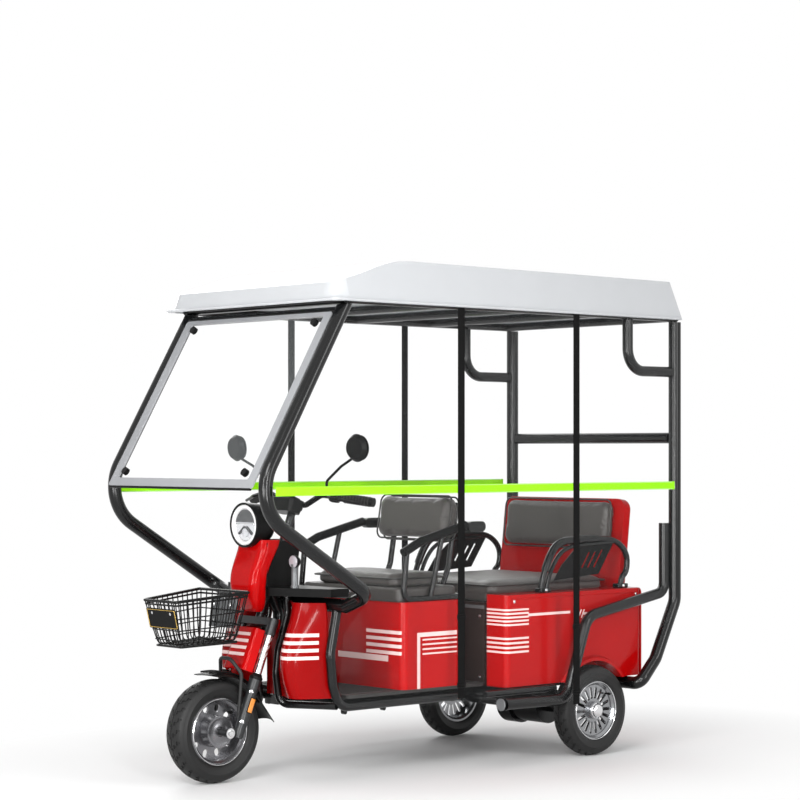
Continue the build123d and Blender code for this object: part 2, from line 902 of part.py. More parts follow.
# ------------------------------------------------------------------ front body
shield_levels = (
    # height, inner edge, middle and outer edge behind the front axle
    (302, 262, 222, 335),
    (380, 250, 190, 325),
    (470, 256, 186, 316),
    (560, 296, 214, 316),
    (650, 300, 236, 306),
)
shield_inner_x = inner_guard_x + inner_guard_r + 2 * contact_gap
shield_outer_x = guard_x - guard_tube_r - 2 * contact_gap
shield_depth = 6.0
with BuildPart() as left_shield:
    for height, inner, middle, outer in shield_levels:
        with BuildSketch(Plane.XY.offset(height)):
            with BuildLine():
                across = (
                    (shield_inner_x, inner),
                    (122, 0.45 * inner + 0.55 * middle),
                    (186, middle),
                    (226, middle + 0.34 * (outer - middle)),
                    (shield_outer_x, outer),
                )
                front = Spline(
                    *[(x, aft(distance)) for x, distance in across],
                    tangents=((1, -0.4), (0.5, 1)),
                )
                back = Spline(
                    *[(x, aft(distance + shield_depth)) for x, distance in across],
                    tangents=((1, -0.4), (0.5, 1)),
                )
                Line(front @ 0, back @ 0)
                Line(front @ 1, back @ 1)
            make_face()
    loft()
apron_aft = down_tube_aft - down_tube_r - contact_gap - shell_wall
with BuildPart() as leg_shields:
    add(both_sides(left_shield.part))
    with BuildSketch(Plane.XY.offset(shield_levels[0][0])):
        with Locations((0, aft(apron_aft + shell_wall / 2))):
            Rectangle(74, shell_wall)
    extrude(amount=276)
finish(leg_shields, "leg_shields")

light_center = Vector(*place(0, 146, 930))
light_r = 82.5
light = Plane(origin=light_center, x_dir=(1, 0, 0), z_dir=(0, -1, 0.02))

cowl_levels = (
    # height, front, back behind the front axle, half width, corner
    (612, 172, 204, 34, 14),
    (646, 140, 206, 60, 24),
    (702, 122, 200, 76, 30),
    (838, 158, 248, 82, 32),
    (876, 166, 262, 82, 32),
)


def cowl_body(inset, back_shift):
    """The cowl's outside, drawn in, with its back moved rearwards."""
    with BuildPart() as body:
        for height, front, back, half_width, corner in cowl_levels:
            with BuildSketch(Plane.XY.offset(height)):
                depth = back + back_shift - front - inset
                with Locations((0, aft(front + inset + depth / 2))):
                    RectangleRounded(2 * (half_width - inset), depth, corner - inset)
        loft()
    return body.part


with BuildPart() as front_cowl:
    add(cowl_body(0, 0))
    add(cowl_body(shell_wall, 30), mode=Mode.SUBTRACT)
    with BuildSketch(light.offset(60)):
        Circle(light_r - contact_gap)
    extrude(amount=-240, mode=Mode.SUBTRACT)
finish(front_cowl, "front_cowl")

with BuildPart() as knee_tray:
    with BuildSketch(Plane.XY.offset(tray_bottom)):
        with BuildLine():
            Polyline(
                (-84, aft(194)),
                (-305, aft(300)),
                (-305, aft(384)),
                (305, aft(384)),
                (305, aft(300)),
                (84, aft(194)),
                close=True,
            )
        make_face()
        with Locations((0, aft(255))):
            Rectangle(62, 96, mode=Mode.SUBTRACT)
    extrude(amount=tray_top - tray_bottom)
    add(cowl_body(-contact_gap, 0), mode=Mode.SUBTRACT)
finish(knee_tray, "knee_tray")

with BuildPart() as inner_fascia:
    with BuildSketch(Plane.XY.offset(tray_top + contact_gap)):
        with Locations((0, aft(235))):
            RectangleRounded(148, 190, 20)
    with BuildSketch(Plane.XY.offset(872)):
        with Locations((0, aft(281))):
            RectangleRounded(156, 150, 20)
    loft()
    with BuildSketch(Plane.XY.offset(tray_top - 2)):
        with Locations((0, aft(230))):
            RectangleRounded(140, 190, 16)
    with BuildSketch(Plane.XY.offset(874)):
        with Locations((0, aft(276))):
            RectangleRounded(148, 150, 16)
    loft(mode=Mode.SUBTRACT)
    add(cowl_body(-contact_gap, 0), mode=Mode.SUBTRACT)
finish(inner_fascia, "inner_fascia")

with BuildPart() as headlight:
    with BuildSketch(Plane.YZ) as bowl:
        with BuildLine():
            Polyline(
                (light_center.Y - 2, light_center.Z),
                (light_center.Y - 2, light_center.Z + light_r - 16),
                (light_center.Y - 8, light_center.Z + light_r - 12),
                (light_center.Y - 8, light_center.Z + light_r - 3),
                (light_center.Y + 4, light_center.Z + light_r),
                (light_center.Y + 26, light_center.Z + light_r - 1),
            )
            Spline(
                (light_center.Y + 26, light_center.Z + light_r - 1),
                (light_center.Y + 78, light_center.Z + 56),
                (light_center.Y + 104, light_center.Z),
                tangents=((1, -0.15), (0, -1)),
            )
            Line(
                (light_center.Y + 104, light_center.Z), (light_center.Y - 2, light_center.Z)
            )
        make_face()
    revolve(axis=Axis(light_center, (0, 1, 0)))
finish(headlight, "headlight")

signal_x = 158.0
signal_aft = 254.0
signal_height = 798.0
with BuildPart() as left_signal:
    with BuildSketch(Plane.XY.offset(tray_top + contact_gap)):
        with Locations(place(signal_x, signal_aft, 0)[:2]):
            Circle(13)
    extrude(amount=signal_height - tray_top)
    with BuildSketch(Plane.XZ.offset(-aft(signal_aft - 14))):
        with Locations((signal_x - 2, signal_height)):
            Circle(17)
    extrude(amount=-22)
with BuildPart() as turn_signals:
    add(both_sides(left_signal.part))
finish(turn_signals, "turn_signals")

# ------------------------------------------------------------------ basket
rim_r = 4.0
ring_r = 2.8
wire_r = 2.2
# front and back behind the front axle, half widths there, heights there
basket_foot = (-196, 24, 74, 112, 506, 516)
basket_rim = (-235, 50, 98, 150, 668, 694)


def basket_corner(share, across, rearward):
    """A corner of the basket at a share of its height, on one side, in front or behind."""
    front, back, front_half, back_half, front_z, back_z = (
        low + share * (high - low) for low, high in zip(basket_foot, basket_rim)
    )
    if rearward:
        return Vector(*place(across * back_half, back, back_z))
    return Vector(*place(across * front_half, front, front_z))


def between(one, other, share):
    """A point part of the way from one to the other."""
    return one + (other - one) * share


def wire(one, other, radius):
    """A straight round wire from one point to another."""
    with BuildPart() as piece:
        with BuildSketch(Plane(origin=one, z_dir=other - one)):
            Circle(radius)
        extrude(amount=(other - one).length)
    return piece.part


with BuildPart() as basket:
    for share, radius in ((0, rim_r), (0.55, ring_r), (1, rim_r)):
        corners = [
            basket_corner(share, across, rearward)
            for across, rearward in ((-1, False), (1, False), (1, True), (-1, True))
        ]
        with BuildLine() as ring:
            FilletPolyline(*corners, radius=24, close=True)
        with BuildSketch(Plane(origin=ring.line @ 0, z_dir=ring.line % 0)):
            Circle(radius)
        sweep(path=ring.line)
    for first, second, wires in (
        ((-1, False), (1, False), 3),
        ((1, False), (1, True), 4),
        ((1, True), (-1, True), 4),
        ((-1, True), (-1, False), 4),
    ):
        for step in range(1, wires + 1):
            share = step / (wires + 1)
            foot = between(basket_corner(0, *first), basket_corner(0, *second), share)
            head = between(basket_corner(1, *first), basket_corner(1, *second), share)
            add(wire(foot, head, wire_r))
    lift = Vector(0, 0, wire_r)
    for step in range(1, 5):
        share = step / 5
        left = between(basket_corner(0, 1, False), basket_corner(0, 1, True), share)
        right = between(basket_corner(0, -1, False), basket_corner(0, -1, True), share)
        add(wire(right + lift, left + lift, wire_r))
    for step in range(1, 4):
        share = step / 4
        near = between(basket_corner(0, -1, False), basket_corner(0, 1, False), share)
        far = between(basket_corner(0, -1, True), basket_corner(0, 1, True), share)
        add(wire(near, far, wire_r))
    with BuildSketch(Plane.XZ.offset(-aft(44))):
        with Locations((0, 628)):
            Rectangle(92, 130)
    extrude(amount=-14)
    with BuildSketch(Plane.XZ.offset(-aft(56))):
        with Locations((0, 668)):
            Rectangle(70, 40)
    extrude(amount=-90)
    add(cowl_body(-contact_gap, 0), mode=Mode.SUBTRACT)
finish(basket, "basket")

plate_foot = between(basket_corner(0, -1, False), basket_corner(0, 1, False), 0.5)
plate_head = between(basket_corner(1, -1, False), basket_corner(1, 1, False), 0.5)
plate_face = Plane(
    origin=between(plate_foot, plate_head, 0.62),
    x_dir=(1, 0, 0),
    z_dir=Vector(1, 0, 0).cross(plate_head - plate_foot),
)
with BuildPart() as number_plate:
    with BuildSketch(plate_face.offset(ring_r + contact_gap)):
        RectangleRounded(175, 75, 6)
    extrude(amount=2)
finish(number_plate, "number_plate")

# ------------------------------------------------------------------ floor and driver's seat
floor_bottom = chassis_top + contact_gap
floor_top = floor_bottom + floor_thickness
floor_front = guard_corner_aft + 28.0
with BuildPart() as footboard:
    with BuildSketch(Plane.XY.offset(floor_bottom)):
        with Locations((0, aft((floor_front + wing_front - 4) / 2))):
            RectangleRounded(2 * seat_box_half_width, wing_front - 4 - floor_front, 24)
    extrude(amount=floor_thickness)
finish(footboard, "footboard")

box_foot = floor_top + contact_gap
with BuildPart() as seat_box:
    with BuildSketch(Plane.XY.offset(box_foot)):
        with Locations((0, aft((seat_box_front + seat_box_rear) / 2))):
            RectangleRounded(2 * seat_box_half_width, seat_box_rear - seat_box_front, 26)
    extrude(amount=seat_box_top - box_foot)
    with BuildSketch(Plane.XY.offset(box_foot)):
        with Locations((0, aft((seat_box_front + seat_box_rear) / 2))):
            RectangleRounded(
                2 * (seat_box_half_width - shell_wall),
                seat_box_rear - seat_box_front - 2 * shell_wall,
                26 - shell_wall,
            )
    extrude(amount=seat_box_top - box_foot - shell_wall, mode=Mode.SUBTRACT)
finish(seat_box, "seat_box")

with BuildPart() as battery:
    with BuildSketch(Plane.XY.offset(box_foot)):
        with Locations((0, aft((seat_box_front + seat_box_rear) / 2))):
            RectangleRounded(520, 220, 6)
    extrude(amount=175)
finish(battery, "battery")

lid_half_width = seat_box_half_width - 15.0
lid_top = 690.0
with BuildPart() as seat_lid:
    with BuildSketch(Plane.XY.offset(seat_box_top + contact_gap)):
        with Locations((0, aft((seat_box_front - 7 + seat_box_rear) / 2))):
            RectangleRounded(2 * lid_half_width, seat_box_rear - seat_box_front + 7, 30)
    extrude(amount=lid_top - seat_box_top - contact_gap)
    fillet(seat_lid.faces().sort_by(Axis.Z)[-1].edges(), 12)
finish(seat_lid, "seat_lid")

arm_x = 300.0
arm_tube_r = 11.0
arm_pivot = (996, 912)
base_bar_height = seat_box_top + contact_gap + arm_tube_r
base_bar_rear = seat_box_rear + 2 * contact_gap + arm_tube_r
driver_back_aft = 992.0
driver_back_height = 942.0
driver_back_lean = radians(9.8)
driver_back = Plane(
    origin=place(0, driver_back_aft, driver_back_height),
    x_dir=(1, 0, 0),
    z_dir=(0, -cos(driver_back_lean), sin(driver_back_lean)),
)
driver_back_depth = 34.0


def behind_driver(height):
    """Where the backrest's own tubes stand at a height, just behind the pad."""
    behind = (driver_back_depth + arm_tube_r + contact_gap) / cos(driver_back_lean)
    return driver_back_aft + behind + (height - driver_back_height) * tan(driver_back_lean)


def lengthened(foot, head, more):
    """The two ends of a straight run whose head is moved on by this much."""
    foot_point = Vector(*foot)
    head_point = Vector(*head)
    return [foot_point, head_point + (head_point - foot_point).normalized() * more]


front_post = (place(arm_x, 654, base_bar_height), place(arm_x, 672, 824))
rear_post = (place(arm_x, 791, base_bar_height), place(arm_x, 852, 882))
rear_post_r = 10.0
pivot_r = 20.0
pivot_bar_aft = behind_driver(arm_pivot[1]) + 14
with BuildPart() as driver_seat_frame:
    add(
        bent_bar(
            [
                place(arm_x, 672, 824),
                place(arm_x, 654, base_bar_height),
                place(arm_x, base_bar_rear, base_bar_height),
                place(-arm_x, base_bar_rear, base_bar_height),
                place(-arm_x, 654, base_bar_height),
                place(-arm_x, 672, 824),
            ],
            arm_tube_r,
            34,
        )
    )
    left_rear_post = bent_bar(rear_post, rear_post_r)
    add(both_sides(left_rear_post))
    for sign in (1, -1):
        add(
            bent_bar(
                [
                    place(sign * 170, base_bar_rear, base_bar_height),
                    place(sign * 170, behind_driver(756), 756),
                    place(sign * 170, behind_driver(1000), 1000),
                ],
                arm_tube_r,
                [70],
            )
        )
        with BuildSketch(Plane.YZ.offset(sign * (arm_x - 14))):
            with Locations((aft((arm_pivot[0] + pivot_bar_aft) / 2), arm_pivot[1])):
                SlotCenterToCenter(pivot_bar_aft - arm_pivot[0], 2 * pivot_r)
        extrude(amount=sign * 28)
    with BuildSketch(Plane.YZ.offset(-arm_x)):
        with Locations((aft(pivot_bar_aft), arm_pivot[1])):
            Circle(9)
    extrude(amount=2 * arm_x)
finish(driver_seat_frame, "driver_seat_frame")

left_arm_pad = bent_bar(
    [
        place(arm_x, 655, 822),
        place(arm_x, 740, 862),
        place(arm_x, 880, 896),
        place(arm_x, arm_pivot[0] - pivot_r - 2, arm_pivot[1] + 6),
    ],
    17.0,
    [60, 200],
)
with BuildPart() as left_arm:
    add(left_arm_pad)
    for points, radius in (
        (lengthened(*front_post, contact_gap), arm_tube_r),
        (lengthened(*rear_post, contact_gap), rear_post_r),
        ([place(arm_x - 20, *arm_pivot), place(arm_x + 20, *arm_pivot)], pivot_r),
    ):
        add(bent_bar(points, radius + contact_gap), mode=Mode.SUBTRACT)
with BuildPart() as driver_armrests:
    add(both_sides(left_arm.part))
finish(driver_armrests, "driver_armrests")

with BuildPart() as driver_cushion:
    with BuildSketch(Plane.XY.offset(lid_top + contact_gap)):
        with Locations((0, aft((seat_box_front + seat_box_rear) / 2 - 5))):
            RectangleRounded(490, 272, 50)
    extrude(amount=48)
    fillet(driver_cushion.faces().sort_by(Axis.Z)[-1].edges(), 24)
finish(driver_cushion, "driver_cushion")

with BuildPart() as driver_backrest:
    with BuildSketch(driver_back.offset(-driver_back_depth)):
        RectangleRounded(420, 176, 44)
    extrude(amount=62)
    fillet(driver_backrest.faces().sort_by(Axis.Y)[0].edges(), 22)
finish(driver_backrest, "driver_backrest")

# ------------------------------------------------------------------ rear body
wing_bottom = chassis_top + contact_gap
wheel_axis = (aft(wheelbase), rear_axle_height)
wing_mid_x = (wing_inner_x + wing_outer_x) / 2
wing_mid_y = aft((wing_front + wing_rear) / 2)
with BuildPart() as left_wing:
    with BuildSketch(Plane.XY.offset(wing_bottom)):
        with Locations((wing_mid_x, wing_mid_y)):
            RectangleRounded(wing_outer_x - wing_inner_x, wing_rear - wing_front, 22)
    extrude(amount=wing_top - wing_bottom)
    with BuildSketch(Plane.XY.offset(wing_bottom)):
        with Locations((wing_mid_x, wing_mid_y)):
            RectangleRounded(
                wing_outer_x - wing_inner_x - 2 * shell_wall,
                wing_rear - wing_front - 2 * shell_wall,
                18,
            )
    extrude(amount=wing_top - wing_bottom - shell_wall, mode=Mode.SUBTRACT)
    with BuildSketch(Plane.YZ.offset(wing_outer_x - 2)) as flare:
        with Locations(wheel_axis):
            Circle(arch_radius + 22)
    with BuildSketch(Plane.YZ.offset(wing_outer_x + 16)):
        with Locations(wheel_axis):
            Circle(arch_radius + 12)
    loft()
    with BuildSketch(Plane.YZ.offset(338)):
        with Locations(wheel_axis):
            Circle(arch_radius + shell_wall)
    extrude(amount=wing_outer_x - 338)
    with BuildSketch(Plane.YZ.offset(338 + shell_wall)):
        with Locations(wheel_axis):
            Circle(arch_radius)
    extrude(amount=200, mode=Mode.SUBTRACT)
    with BuildSketch(Plane.XY.offset(wing_bottom)):
        with Locations((wing_mid_x, wing_mid_y)):
            Rectangle(400, 1200)
    extrude(amount=-400, mode=Mode.SUBTRACT)
for side, sign in (("left", 1), ("right", -1)):
    with BuildPart() as wing:
        if sign > 0:
            add(left_wing.part)
        else:
            mirror(left_wing.part, about=Plane.YZ)
    finish(wing, f"rear_wing_{side}")

seat_base_top = 617.0
with BuildPart() as rear_seat_base:
    with BuildSketch(Plane.XY.offset(wing_bottom)):
        with Locations((0, wing_mid_y)):
            Rectangle(2 * (wing_inner_x - contact_gap), wing_rear - wing_front)
    extrude(amount=seat_base_top - wing_bottom)
    with BuildSketch(Plane.XY.offset(wing_bottom)):
        with Locations((0, wing_mid_y + shell_wall)):
            Rectangle(
                2 * (wing_inner_x - contact_gap - shell_wall), wing_rear - wing_front
            )
    extrude(amount=seat_base_top - wing_bottom - shell_wall, mode=Mode.SUBTRACT)
finish(rear_seat_base, "rear_seat_base")

with BuildPart() as rear_panel:
    with BuildSketch(Plane.XZ.offset(-aft(wing_rear) - contact_gap)):
        with Locations((0, (wing_bottom + wing_top) / 2)):
            RectangleRounded(2 * (wing_outer_x - 4), wing_top - wing_bottom, 20)
    extrude(amount=-6)
finish(rear_panel, "rear_panel")

with BuildPart() as left_lamp:
    with BuildSketch(Plane.XZ.offset(-aft(wing_rear) - contact_gap - 6)):
        with Locations((350, 500)):
            RectangleRounded(70, 150, 16)
    extrude(amount=-22)
    fillet(left_lamp.faces().sort_by(Axis.Y)[-1].edges(), 8)
with BuildPart() as tail_lamps:
    add(both_sides(left_lamp.part))
finish(tail_lamps, "tail_lamps")

cushion_top = 698.0
rear_cushion_aft = wing_front + 333.0
rear_back_aft = wing_rear - 43.0
with BuildPart() as rear_cushion:
    with BuildSketch(Plane.XY.offset(seat_base_top + contact_gap)):
        with Locations((0, aft(rear_cushion_aft))):
            Rectangle(2 * (wing_inner_x - 3), 640)
    extrude(amount=wing_top - seat_base_top)
    with BuildSketch(Plane.XY.offset(wing_top + contact_gap)):
        with Locations((0, aft(rear_cushion_aft))):
            RectangleRounded(644, 650, 40)
    extrude(amount=cushion_top - wing_top - contact_gap)
    fillet(rear_cushion.faces().sort_by(Axis.Z)[-1].edges(), 20)
finish(rear_cushion, "rear_cushion")

back_lean = Plane(
    origin=place(0, rear_back_aft, 832), x_dir=(1, 0, 0), z_dir=(0, -0.994, 0.112)
)
with BuildPart() as rear_backrest_shell:
    with BuildSketch(back_lean):
        with Locations((0, -12)):
            RectangleRounded(690, 376, 44)
    extrude(amount=-46)
    fillet(rear_backrest_shell.faces().sort_by(Axis.Y)[-1].edges(), 16)
    with BuildSketch(Plane.XY.offset(wing_top + contact_gap)):
        with Locations((0, aft(rear_back_aft))):
            Rectangle(1200, 400)
    extrude(amount=-60, mode=Mode.SUBTRACT)
finish(rear_backrest_shell, "rear_backrest_shell")

with BuildPart() as rear_backrest_cushion:
    with BuildSketch(back_lean.offset(contact_gap)):
        with Locations((0, 68)):
            RectangleRounded(610, 204, 40)
    extrude(amount=44)
    fillet(rear_backrest_cushion.faces().sort_by(Axis.Y)[0].edges(), 18)
finish(rear_backrest_cushion, "rear_backrest_cushion")

rear_arm_x = 368.0
with BuildPart() as left_rear_arm:
    add(
        bent_bar(
            [
                place(rear_arm_x, wing_front + 226, wing_top + contact_gap),
                place(rear_arm_x, wing_front + 267, 730),
                place(rear_arm_x, wing_front + 363, 856),
                place(rear_arm_x, wing_rear - 123, 850),
                place(rear_arm_x, wing_rear - 35, 760),
                place(rear_arm_x, wing_rear - 73, wing_top + contact_gap),
            ],
            12.0,
            [60, 70, 60, 40],
        )
    )
    with BuildSketch(Plane.YZ.offset(rear_arm_x - 2)):
        with BuildLine():
            Polyline(
                (aft(wing_front + 255), 704),
                (aft(wing_front + 367), 848),
                (aft(wing_rear - 143), 846),
                (aft(wing_rear - 103), 760),
                close=True,
            )
        make_face()
        for step in range(3):
            with Locations((aft(wing_front + 355 + 62 * step), 772)):
                SlotOverall(62, 14, rotation=58, mode=Mode.SUBTRACT)
    extrude(amount=4)
    with BuildSketch(Plane.XY.offset(wing_top + contact_gap)):
        with Locations((0, aft(wing_front + 465))):
            Rectangle(1200, 900)
    extrude(amount=-60, mode=Mode.SUBTRACT)
with BuildPart() as rear_armrests:
    add(both_sides(left_rear_arm.part))
finish(rear_armrests, "rear_armrests")

# ------------------------------------------------------------------ rear axle
spring_x = chassis_rail_x
hub_inner = half_track - rear_hub_half
axle_tube_r = 27.0
with BuildPart() as rear_axle:
    with BuildSketch(Plane.YZ.offset(-hub_inner + 6)):
        with Locations(wheel_axis):
            Circle(axle_tube_r)
    extrude(amount=2 * (hub_inner - 6))
    with BuildSketch(Plane.YZ.offset(-hub_inner - 68)):
        with Locations(wheel_axis):
            Circle(stub_radius)
    extrude(amount=2 * (hub_inner + 68))
    with BuildSketch(Plane.YZ.offset(20)):
        with Locations(wheel_axis):
            Circle(84)
    extrude(amount=-70)
    with BuildSketch(Plane.YZ.offset(20)):
        with Locations(wheel_axis):
            Circle(74)
    extrude(amount=150)
finish(rear_axle, "rear_axle")

spring_reach = 172.0
leaf_half = 3.6
eye_height = chassis_top - chassis_depth - contact_gap - 11
main_leaf = rear_axle_height + axle_tube_r + contact_gap + 5 * leaf_half
with BuildPart() as left_spring:
    for leaf, reach in ((0, spring_reach), (1, 126), (2, 80)):
        sag = (eye_height - main_leaf) * (reach / spring_reach) ** 2
        low = main_leaf - 2 * leaf_half * leaf
        with BuildSketch(Plane.YZ.offset(spring_x - 25)):
            with BuildLine():
                ThreePointArc(
                    (aft(wheelbase - reach), low + sag),
                    (aft(wheelbase), low),
                    (aft(wheelbase + reach), low + sag),
                )
                offset(amount=leaf_half, side=Side.BOTH)
            make_face()
        extrude(amount=50)
    for way in (-1, 1):
        with BuildSketch(Plane.YZ.offset(spring_x - 25)):
            with Locations((aft(wheelbase + way * spring_reach), eye_height)):
                Rectangle(22, 22)
        extrude(amount=50)
with BuildPart() as leaf_springs:
    add(both_sides(left_spring.part))
finish(leaf_springs, "leaf_springs")
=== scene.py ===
"""Finishes and detail pieces for a roofed electric tricycle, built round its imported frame.

Metres, +Z up, the front faces -Y and the rider's left is +X.  Run as a script, it registers
the add-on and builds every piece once.
"""

import json
from functools import reduce
from math import atan2, cos, pi, radians, sin, tan

import bpy
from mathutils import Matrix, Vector


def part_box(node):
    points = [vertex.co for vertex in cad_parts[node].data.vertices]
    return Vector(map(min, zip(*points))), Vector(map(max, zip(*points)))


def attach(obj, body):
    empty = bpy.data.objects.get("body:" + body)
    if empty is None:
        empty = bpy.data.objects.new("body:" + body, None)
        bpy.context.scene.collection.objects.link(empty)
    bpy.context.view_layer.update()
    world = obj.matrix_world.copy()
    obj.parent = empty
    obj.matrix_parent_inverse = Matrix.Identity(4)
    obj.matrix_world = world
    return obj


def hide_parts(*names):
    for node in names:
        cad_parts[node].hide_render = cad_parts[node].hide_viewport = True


bl_info = {
    "name": "Electric Tricycle Detail",
    "version": (1, 0, 0),
    "blender": (4, 5, 0),
    "location": "3D View > Sidebar > Tricycle",
    "description": "Builds the finishes and detail pieces of a roofed electric tricycle",
    "category": "Object",
}

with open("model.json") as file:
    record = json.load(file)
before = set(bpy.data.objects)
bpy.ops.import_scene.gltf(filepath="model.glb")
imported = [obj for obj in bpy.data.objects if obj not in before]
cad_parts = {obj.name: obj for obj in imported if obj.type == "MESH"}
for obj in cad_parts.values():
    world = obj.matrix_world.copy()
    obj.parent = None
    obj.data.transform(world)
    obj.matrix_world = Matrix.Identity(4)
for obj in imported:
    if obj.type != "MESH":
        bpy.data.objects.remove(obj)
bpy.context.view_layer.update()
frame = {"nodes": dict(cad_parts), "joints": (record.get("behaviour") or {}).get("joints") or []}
joints = {joint["name"]: joint for joint in frame["joints"]}
front_hub = Vector(joints["front_wheel_spin"]["pos_m"])
left_hub = Vector(joints["rear_left_wheel_spin"]["pos_m"])
right_hub = Vector(joints["rear_right_wheel_spin"]["pos_m"])
steer_foot = Vector(joints["steering_pivot"]["pos_m"])
steer_axis = Vector(joints["steering_pivot"]["axis"]).normalized()
across = Vector((1, 0, 0))
forward = Vector((0, -1, 0))
upward = Vector((0, 0, 1))


def behind(distance):
    """Y of a point this far behind the front axle."""
    return front_hub.y + distance


def at(x, distance, z):
    """A point given by its side, its distance behind the front axle and its height."""
    return Vector((x, behind(distance), z))


def box_of(node):
    """The lowest and the highest corner of a node of the frame."""
    low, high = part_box(node)
    return Vector(low), Vector(high)


# ---------------------------------------------------------------- sizes and colours
def length(name, description, default, least=0.001):
    """A length that a user of the add-on may change."""
    return bpy.props.FloatProperty(name=name, description=description, default=default,
                                   min=least, unit="LENGTH")


def colour(name, description, default):
    """A colour that a user of the add-on may change."""
    return bpy.props.FloatVectorProperty(name=name, description=description, subtype="COLOR",
                                         default=default, min=0.0, max=1.0)


class TricycleSizes(bpy.types.PropertyGroup):
    """Sizes of the small parts"""

    tread_depth: length("Tread depth", "Depth of the grooves in the tyres", 0.0035)
    basket_wire: length("Basket wire", "Radius of the thin wires of the basket", 0.0024)
    piping: length("Piping", "Radius of the piping round the seats", 0.0034)
    film_wave: length("Film wave", "Height of the soft waves in the side curtains", 0.0012, 0.0)


class TricycleColours(bpy.types.PropertyGroup):
    """Colours of the main materials"""

    body_red: colour("Body red", "Gloss red of the body mouldings", (0.44, 0.0018, 0.0022))
    stripe: colour("Stripe", "Pale stripes on the body mouldings", (0.86, 0.62, 0.60))
    tube_black: colour("Tube black", "Powder coat of the tubes", (0.0036, 0.0038, 0.0040))
    roof_white: colour("Roof white", "White of the roof moulding", (0.49, 0.503, 0.52))
    lime: colour("Lime", "Reflective band on the side curtains", (0.31, 0.86, 0.004))
    vinyl: colour("Vinyl", "Seat covers", (0.052, 0.047, 0.043))


def sizes():
    """The sizes as they are set in the scene."""
    return bpy.context.scene.tricycle_sizes


def colours():
    """The colours as they are set in the scene."""
    return bpy.context.scene.tricycle_colours


# ---------------------------------------------------------------- material building
def fill(tree, node, inputs):
    """Give the inputs of a node their values, or join other sockets to them."""
    for key, value in inputs.items():
        if isinstance(value, bpy.types.NodeSocket):
            tree.links.new(value, node.inputs[key])
        else:
            node.inputs[key].default_value = value


def add_node(tree, kind, inputs=None, **settings):
    """A shader node with its settings, and its inputs filled."""
    node = tree.nodes.new(f"ShaderNode{kind}")
    for key, value in settings.items():
        setattr(node, key, value)
    fill(tree, node, inputs or {})
    return node


def new_material(name):
    """The nodes of a new material: its shader, joined to its output."""
    material = bpy.data.materials.new(f"{name}_finish")
    material.use_nodes = True
    tree = material.node_tree
    tree.nodes.clear()
    shader = add_node(tree, "BsdfPrincipled")
    add_node(tree, "OutputMaterial", {"Surface": shader.outputs["BSDF"]})
    return tree, shader


def coordinates(tree):
    """Places on the piece, in metres."""
    return add_node(tree, "TexCoord").outputs["Object"]


def axes(tree):
    """The X, Y and Z of a point on the piece."""
    node = add_node(tree, "SeparateXYZ", {"Vector": coordinates(tree)})
    return tuple(node.outputs)


def noise(tree, scale, detail=3.0):
    """A noise pattern of a given fineness."""
    inputs = {"Scale": scale, "Detail": detail, "Vector": coordinates(tree)}
    return add_node(tree, "TexNoise", inputs).outputs["Fac"]


def cells(tree, scale):
    """Rounded cells with creases between them."""
    inputs = {"Scale": scale, "Vector": coordinates(tree)}
    return add_node(tree, "TexVoronoi", inputs, feature="DISTANCE_TO_EDGE").outputs["Distance"]


def between_values(tree, factor, low, high, start=0.0, end=1.0):
    """A number that runs from low to high as the factor runs from start to end."""
    inputs = {"Value": factor, "From Min": start, "From Max": end, "To Min": low, "To Max": high}
    return add_node(tree, "MapRange", inputs).outputs["Result"]


def mixed_colour(tree, factor, first, second):
    """A colour between two colours, each a value or a socket."""
    first, second = (end if isinstance(end, bpy.types.NodeSocket) else (*end[:3], 1.0)
                     for end in (first, second))
    inputs = {"Factor": factor, 6: first, 7: second}
    return add_node(tree, "Mix", inputs, data_type="RGBA").outputs[2]


def sums(tree, operation, first, second=0.0):
    """The result of one sum on two values, each a number or a socket."""
    return add_node(tree, "Math", {0: first, 1: second}, operation=operation).outputs["Value"]


def combined(tree, operation, masks):
    """One mask made of several."""
    return reduce(lambda first, second: sums(tree, operation, first, second), masks)


def inside(tree, value, low, high):
    """One where a value lies between two limits, and nought elsewhere."""
    over = sums(tree, "GREATER_THAN", value, low)
    under = sums(tree, "LESS_THAN", value, high)
    return sums(tree, "MULTIPLY", over, under)


def raised(tree, shader, height, strength, distance=0.001):
    """Let a pattern stand out of the surface."""
    bump = add_node(tree, "Bump", {"Strength": strength, "Distance": distance, "Height": height})
    fill(tree, shader, {"Normal": bump.outputs["Normal"]})


def scaled(tint, share):
    """A colour made darker or lighter."""
    return tuple(min(1.0, part * share) for part in tint)


def clouded(tree, shader, cloud, darkest, lightest):
    """Let the base colour run between two colours with a pattern."""
    fill(tree, shader, {"Base Color": mixed_colour(tree, cloud, darkest, lightest)})


def shiny(tree, shader, pattern, smooth, rough):
    """Let the roughness run between two values with a pattern."""
    fill(tree, shader, {"Roughness": between_values(tree, pattern, smooth, rough)})


def speckled(name, tint, roughness, grain, strength, metallic=0.0, coat=0.0, spread=0.25,
             specular=0.5):
    """A finish whose colour and shine vary a little and whose surface has a fine grain."""
    tree, shader = new_material(name)
    clouded(tree, shader, noise(tree, 9.0, 4.0), scaled(tint, 1 - spread),
            scaled(tint, 1 + spread))
    shiny(tree, shader, noise(tree, 36.0, 2.0), roughness * 0.85, roughness * 1.15)
    fill(tree, shader, {"Metallic": metallic, "Specular IOR Level": specular,
                        "Coat Weight": coat, "Coat Roughness": 0.05})
    raised(tree, shader, noise(tree, grain, 2.0), strength, 0.0004)


